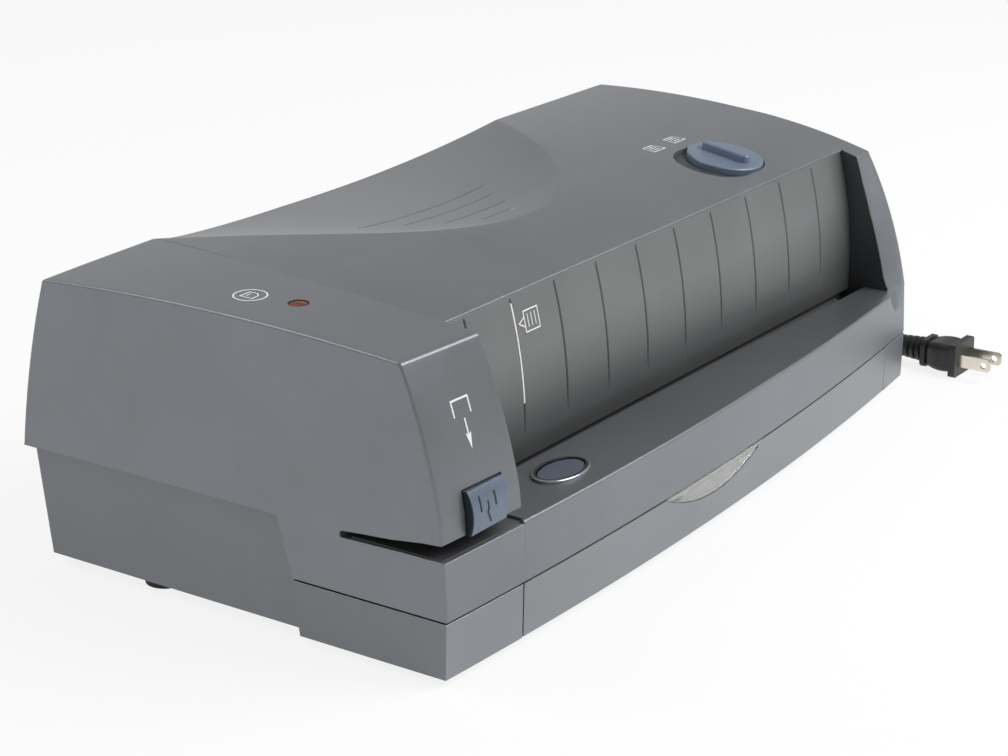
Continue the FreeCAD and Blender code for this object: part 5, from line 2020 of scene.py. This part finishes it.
CARRIED = (
    # Painted shade on the base's left faces.
    Carried("base", "root", "base_grey", 0.5, Facing(0, -1, 0.8, 0.28)),
    Carried("chip_tray", "tray", "tray_grey", 0.4),
    Carried("tray_window", "tray", "clear_window"),
    Carried("mode_selector", "selector", "button_blue"),
    # Painted shade in the gap inside the ring round the oval button.
    Carried("oval_bezel", "root", "bezel_metal", shade=bezel_gap_shade),
    # Painted shade over the whole oval button.
    Carried("oval_button", "oval_key", "button_blue", shade=Even(0.52)),
    Carried("driver_spring", "root", "staple_wire",
            squeeze=Squeeze("driver_stroke", (26.4, 32.0, 73.6), 0.34)),
    Carried("button_spring", "root", "staple_wire",
            squeeze=Squeeze("oval_press", (99.5, 15.3, 36.0), 0.64)),
    Carried("anvil_plate", "root", "anvil_grey", 0.25),
    Carried("rubber_feet", "root", "foot_rubber", 0.5),
    Carried("cord_gland", "root", "cord_black"),
    Carried("plug_body", "root", "cord_black"),
    Carried("plug_blades", "root", "blade_metal"),
)


# ---------------------------------------------------------------- studio
@dataclass
class Studio:
    """Camera, lamps, pale floor and white surroundings."""

    camera_place: tuple = (-689.613, -502.035, 419.808)
    yaw: float = math.radians(55.385)
    pitch: float = math.radians(19.276)
    lens: float = 91.27
    sensor: float = 36.0
    far: float = 50.0
    room: float = 0.34
    sweep_z: Pair = (0.12, 0.34)
    sweep_y: Pair = (-0.1, 0.5)
    reach: float = 6.0
    paper: float = 0.86
    paper_rough: float = 0.9
    seen_share: float = 0.84
    mirrored_share: float = 0.8

    def camera(self) -> None:
        """Aim the camera along its yaw and pitch."""
        data = bpy.data.cameras.new("camera")
        data.lens, data.sensor_width, data.sensor_fit = self.lens, self.sensor, "HORIZONTAL"
        data.clip_end = self.far
        rig = linked("camera", data)
        rig.location = Vector(to_row(self.camera_place))
        level = math.cos(self.pitch)
        ahead = Vector((math.sin(self.yaw) * level, math.cos(self.yaw) * level,
                        -math.sin(self.pitch)))
        rig.rotation_euler = ahead.to_track_quat("-Z", "Y").to_euler()
        bpy.context.scene.camera = rig

    def lamp(self, name: str, place: tuple, size: Pair, power: float,
             aim: tuple = (0, 0, 0.06)) -> None:
        """Add a soft box that the camera doesn't see.

        Args:
            name: Lamp name.
            place: Where it stands, in the frame.
            size: Its width and height.
            power: Watts.
            aim: Point that it faces.
        """
        data = bpy.data.lights.new(name, "AREA")
        data.shape, data.size, data.size_y, data.energy = "RECTANGLE", *size, power
        lamp = linked(name, data)
        lamp.location = place
        lamp.rotation_euler = (Vector(aim) - Vector(place)).to_track_quat("-Z", "Y").to_euler()
        lamp.visible_camera = False

    def seen(self, tree: bpy.types.NodeTree) -> tuple[bpy.types.Node, bpy.types.NodeSocket]:
        """Light path node, and whether the camera sees a point, also through glass.

        Args:
            tree: Tree that they are added to.

        Returns:
            The node and the socket.
        """
        path = new_node(tree, "LightPath")
        rays = {0: path.outputs["Is Camera Ray"], 1: path.outputs["Is Transmission Ray"]}
        return path, new_node(tree, "Math", rays, operation="MAXIMUM").outputs[0]

    def world(self) -> None:
        """White to the camera; to other rays a grey room with a white sweep low behind."""
        world = bpy.data.worlds.new("studio")
        bpy.context.scene.world = world
        world.use_nodes = True
        tree = world.node_tree
        _, seen = self.seen(tree)
        direction = new_node(tree, "TexCoord").outputs["Generated"]
        toward = new_node(tree, "SeparateXYZ", {0: direction})
        (z0, z1), (y0, y1) = self.sweep_z, self.sweep_y
        low = new_node(tree, "MapRange", {0: toward.outputs["Z"], 1: z0, 2: z1, 3: 1.0, 4: 0.0})
        behind = new_node(tree, "MapRange", {0: toward.outputs["Y"], 1: y0, 2: y1})
        sweep = new_node(tree, "Math", {0: low.outputs[0], 1: behind.outputs[0]},
                         operation="MULTIPLY")
        room = new_node(tree, "MapRange", {0: sweep.outputs[0], 3: self.room, 4: 1.0})
        strength = new_node(tree, "MapRange", {0: seen, 3: room.outputs[0], 4: 1.0})
        background = tree.nodes["Background"]
        background.inputs["Color"].default_value = (1, 1, 1, 1)
        tree.links.new(strength.outputs[0], background.inputs["Strength"])

    def floor(self) -> None:
        """Pale floor that glows to the camera and in reflections, and keeps the shadow."""
        mesh, reach = bpy.data.meshes.new("floor"), self.reach
        mesh.from_pydata([(-reach, -reach, 0), (reach, -reach, 0), (reach, reach, 0),
                          (-reach, reach, 0)], [], [(0, 1, 2, 3)])
        floor = linked("floor", mesh)
        paper, tree, shader = new_material("floor paper")
        shader.inputs["Base Color"].default_value = scaled((1.0, 1.0, 1.0), self.paper)
        shader.inputs["Roughness"].default_value = self.paper_rough
        path, seen = self.seen(tree)
        glow = new_node(tree, "Emission", {"Color": (1, 1, 1, 1), "Strength": 1.0})
        mirrored = new_node(tree, "Math", {0: path.outputs["Is Glossy Ray"],
                                           1: self.mirrored_share}, operation="MULTIPLY")
        share = new_node(tree, "Math", {0: seen, 1: self.seen_share, 2: mirrored.outputs[0]},
                         operation="MULTIPLY_ADD", use_clamp=True)
        mix = new_node(tree, "MixShader", {0: share.outputs[0], 1: shader.outputs[0],
                                           2: glow.outputs[0]})
        tree.links.new(mix.outputs[0], tree.nodes["Material Output"].inputs["Surface"])
        dress(floor, paper)

    def build(self) -> None:
        """Set the studio up."""
        self.camera()
        self.world()
        self.floor()
        self.lamp("front", (0.55, -0.95, 1.1), (1.2, 0.8), 22.0, (0.2, -0.3, 0.0))
        self.lamp("overhead", (-0.7, 1.2, 1.8), (1.1, 0.9), 12.0)
        bpy.context.scene.view_settings.view_transform = "Standard"


def finish_nodes(materials: dict[str, bpy.types.Material]) -> None:
    """Give each CAD node its finish.

    Args:
        materials: Slot name to material.
    """
    slots = {part["node"]: part["material_slot"] for part in frame["record"]["subparts"]}
    for node, solid in frame["nodes"].items():
        dress(solid, materials[LOOKS.get(node, slots[node])])


def main() -> None:
    """Build the scene in order and report each piece."""
    logging.basicConfig(level=logging.INFO, format="%(message)s")
    Studio().build()
    moulded_grain()
    brushed_lines()
    materials = {finish.slot: finish.material() for finish in FINISHES}
    finish_nodes(materials)
    carried = {part.node: part.build(materials) for part in CARRIED}
    plug = [carried["plug_body"], carried["plug_blades"]]
    pieces = [*carried.values(), PowerCord().build(materials["cord_black"], plug),
              *Cover().build(materials["cover_grey"]),
              PaperPanel().build(materials["panel_grey"]),
              *NoseButton().build(materials["button_blue"]),
              LampLens().build(materials["lamp_red"]),
              *Signs().build(materials["print_white"])]
    for piece in pieces:
        log.info("%s (%s)", piece.name, piece.type.lower())


if __name__ == "__main__":
    main()
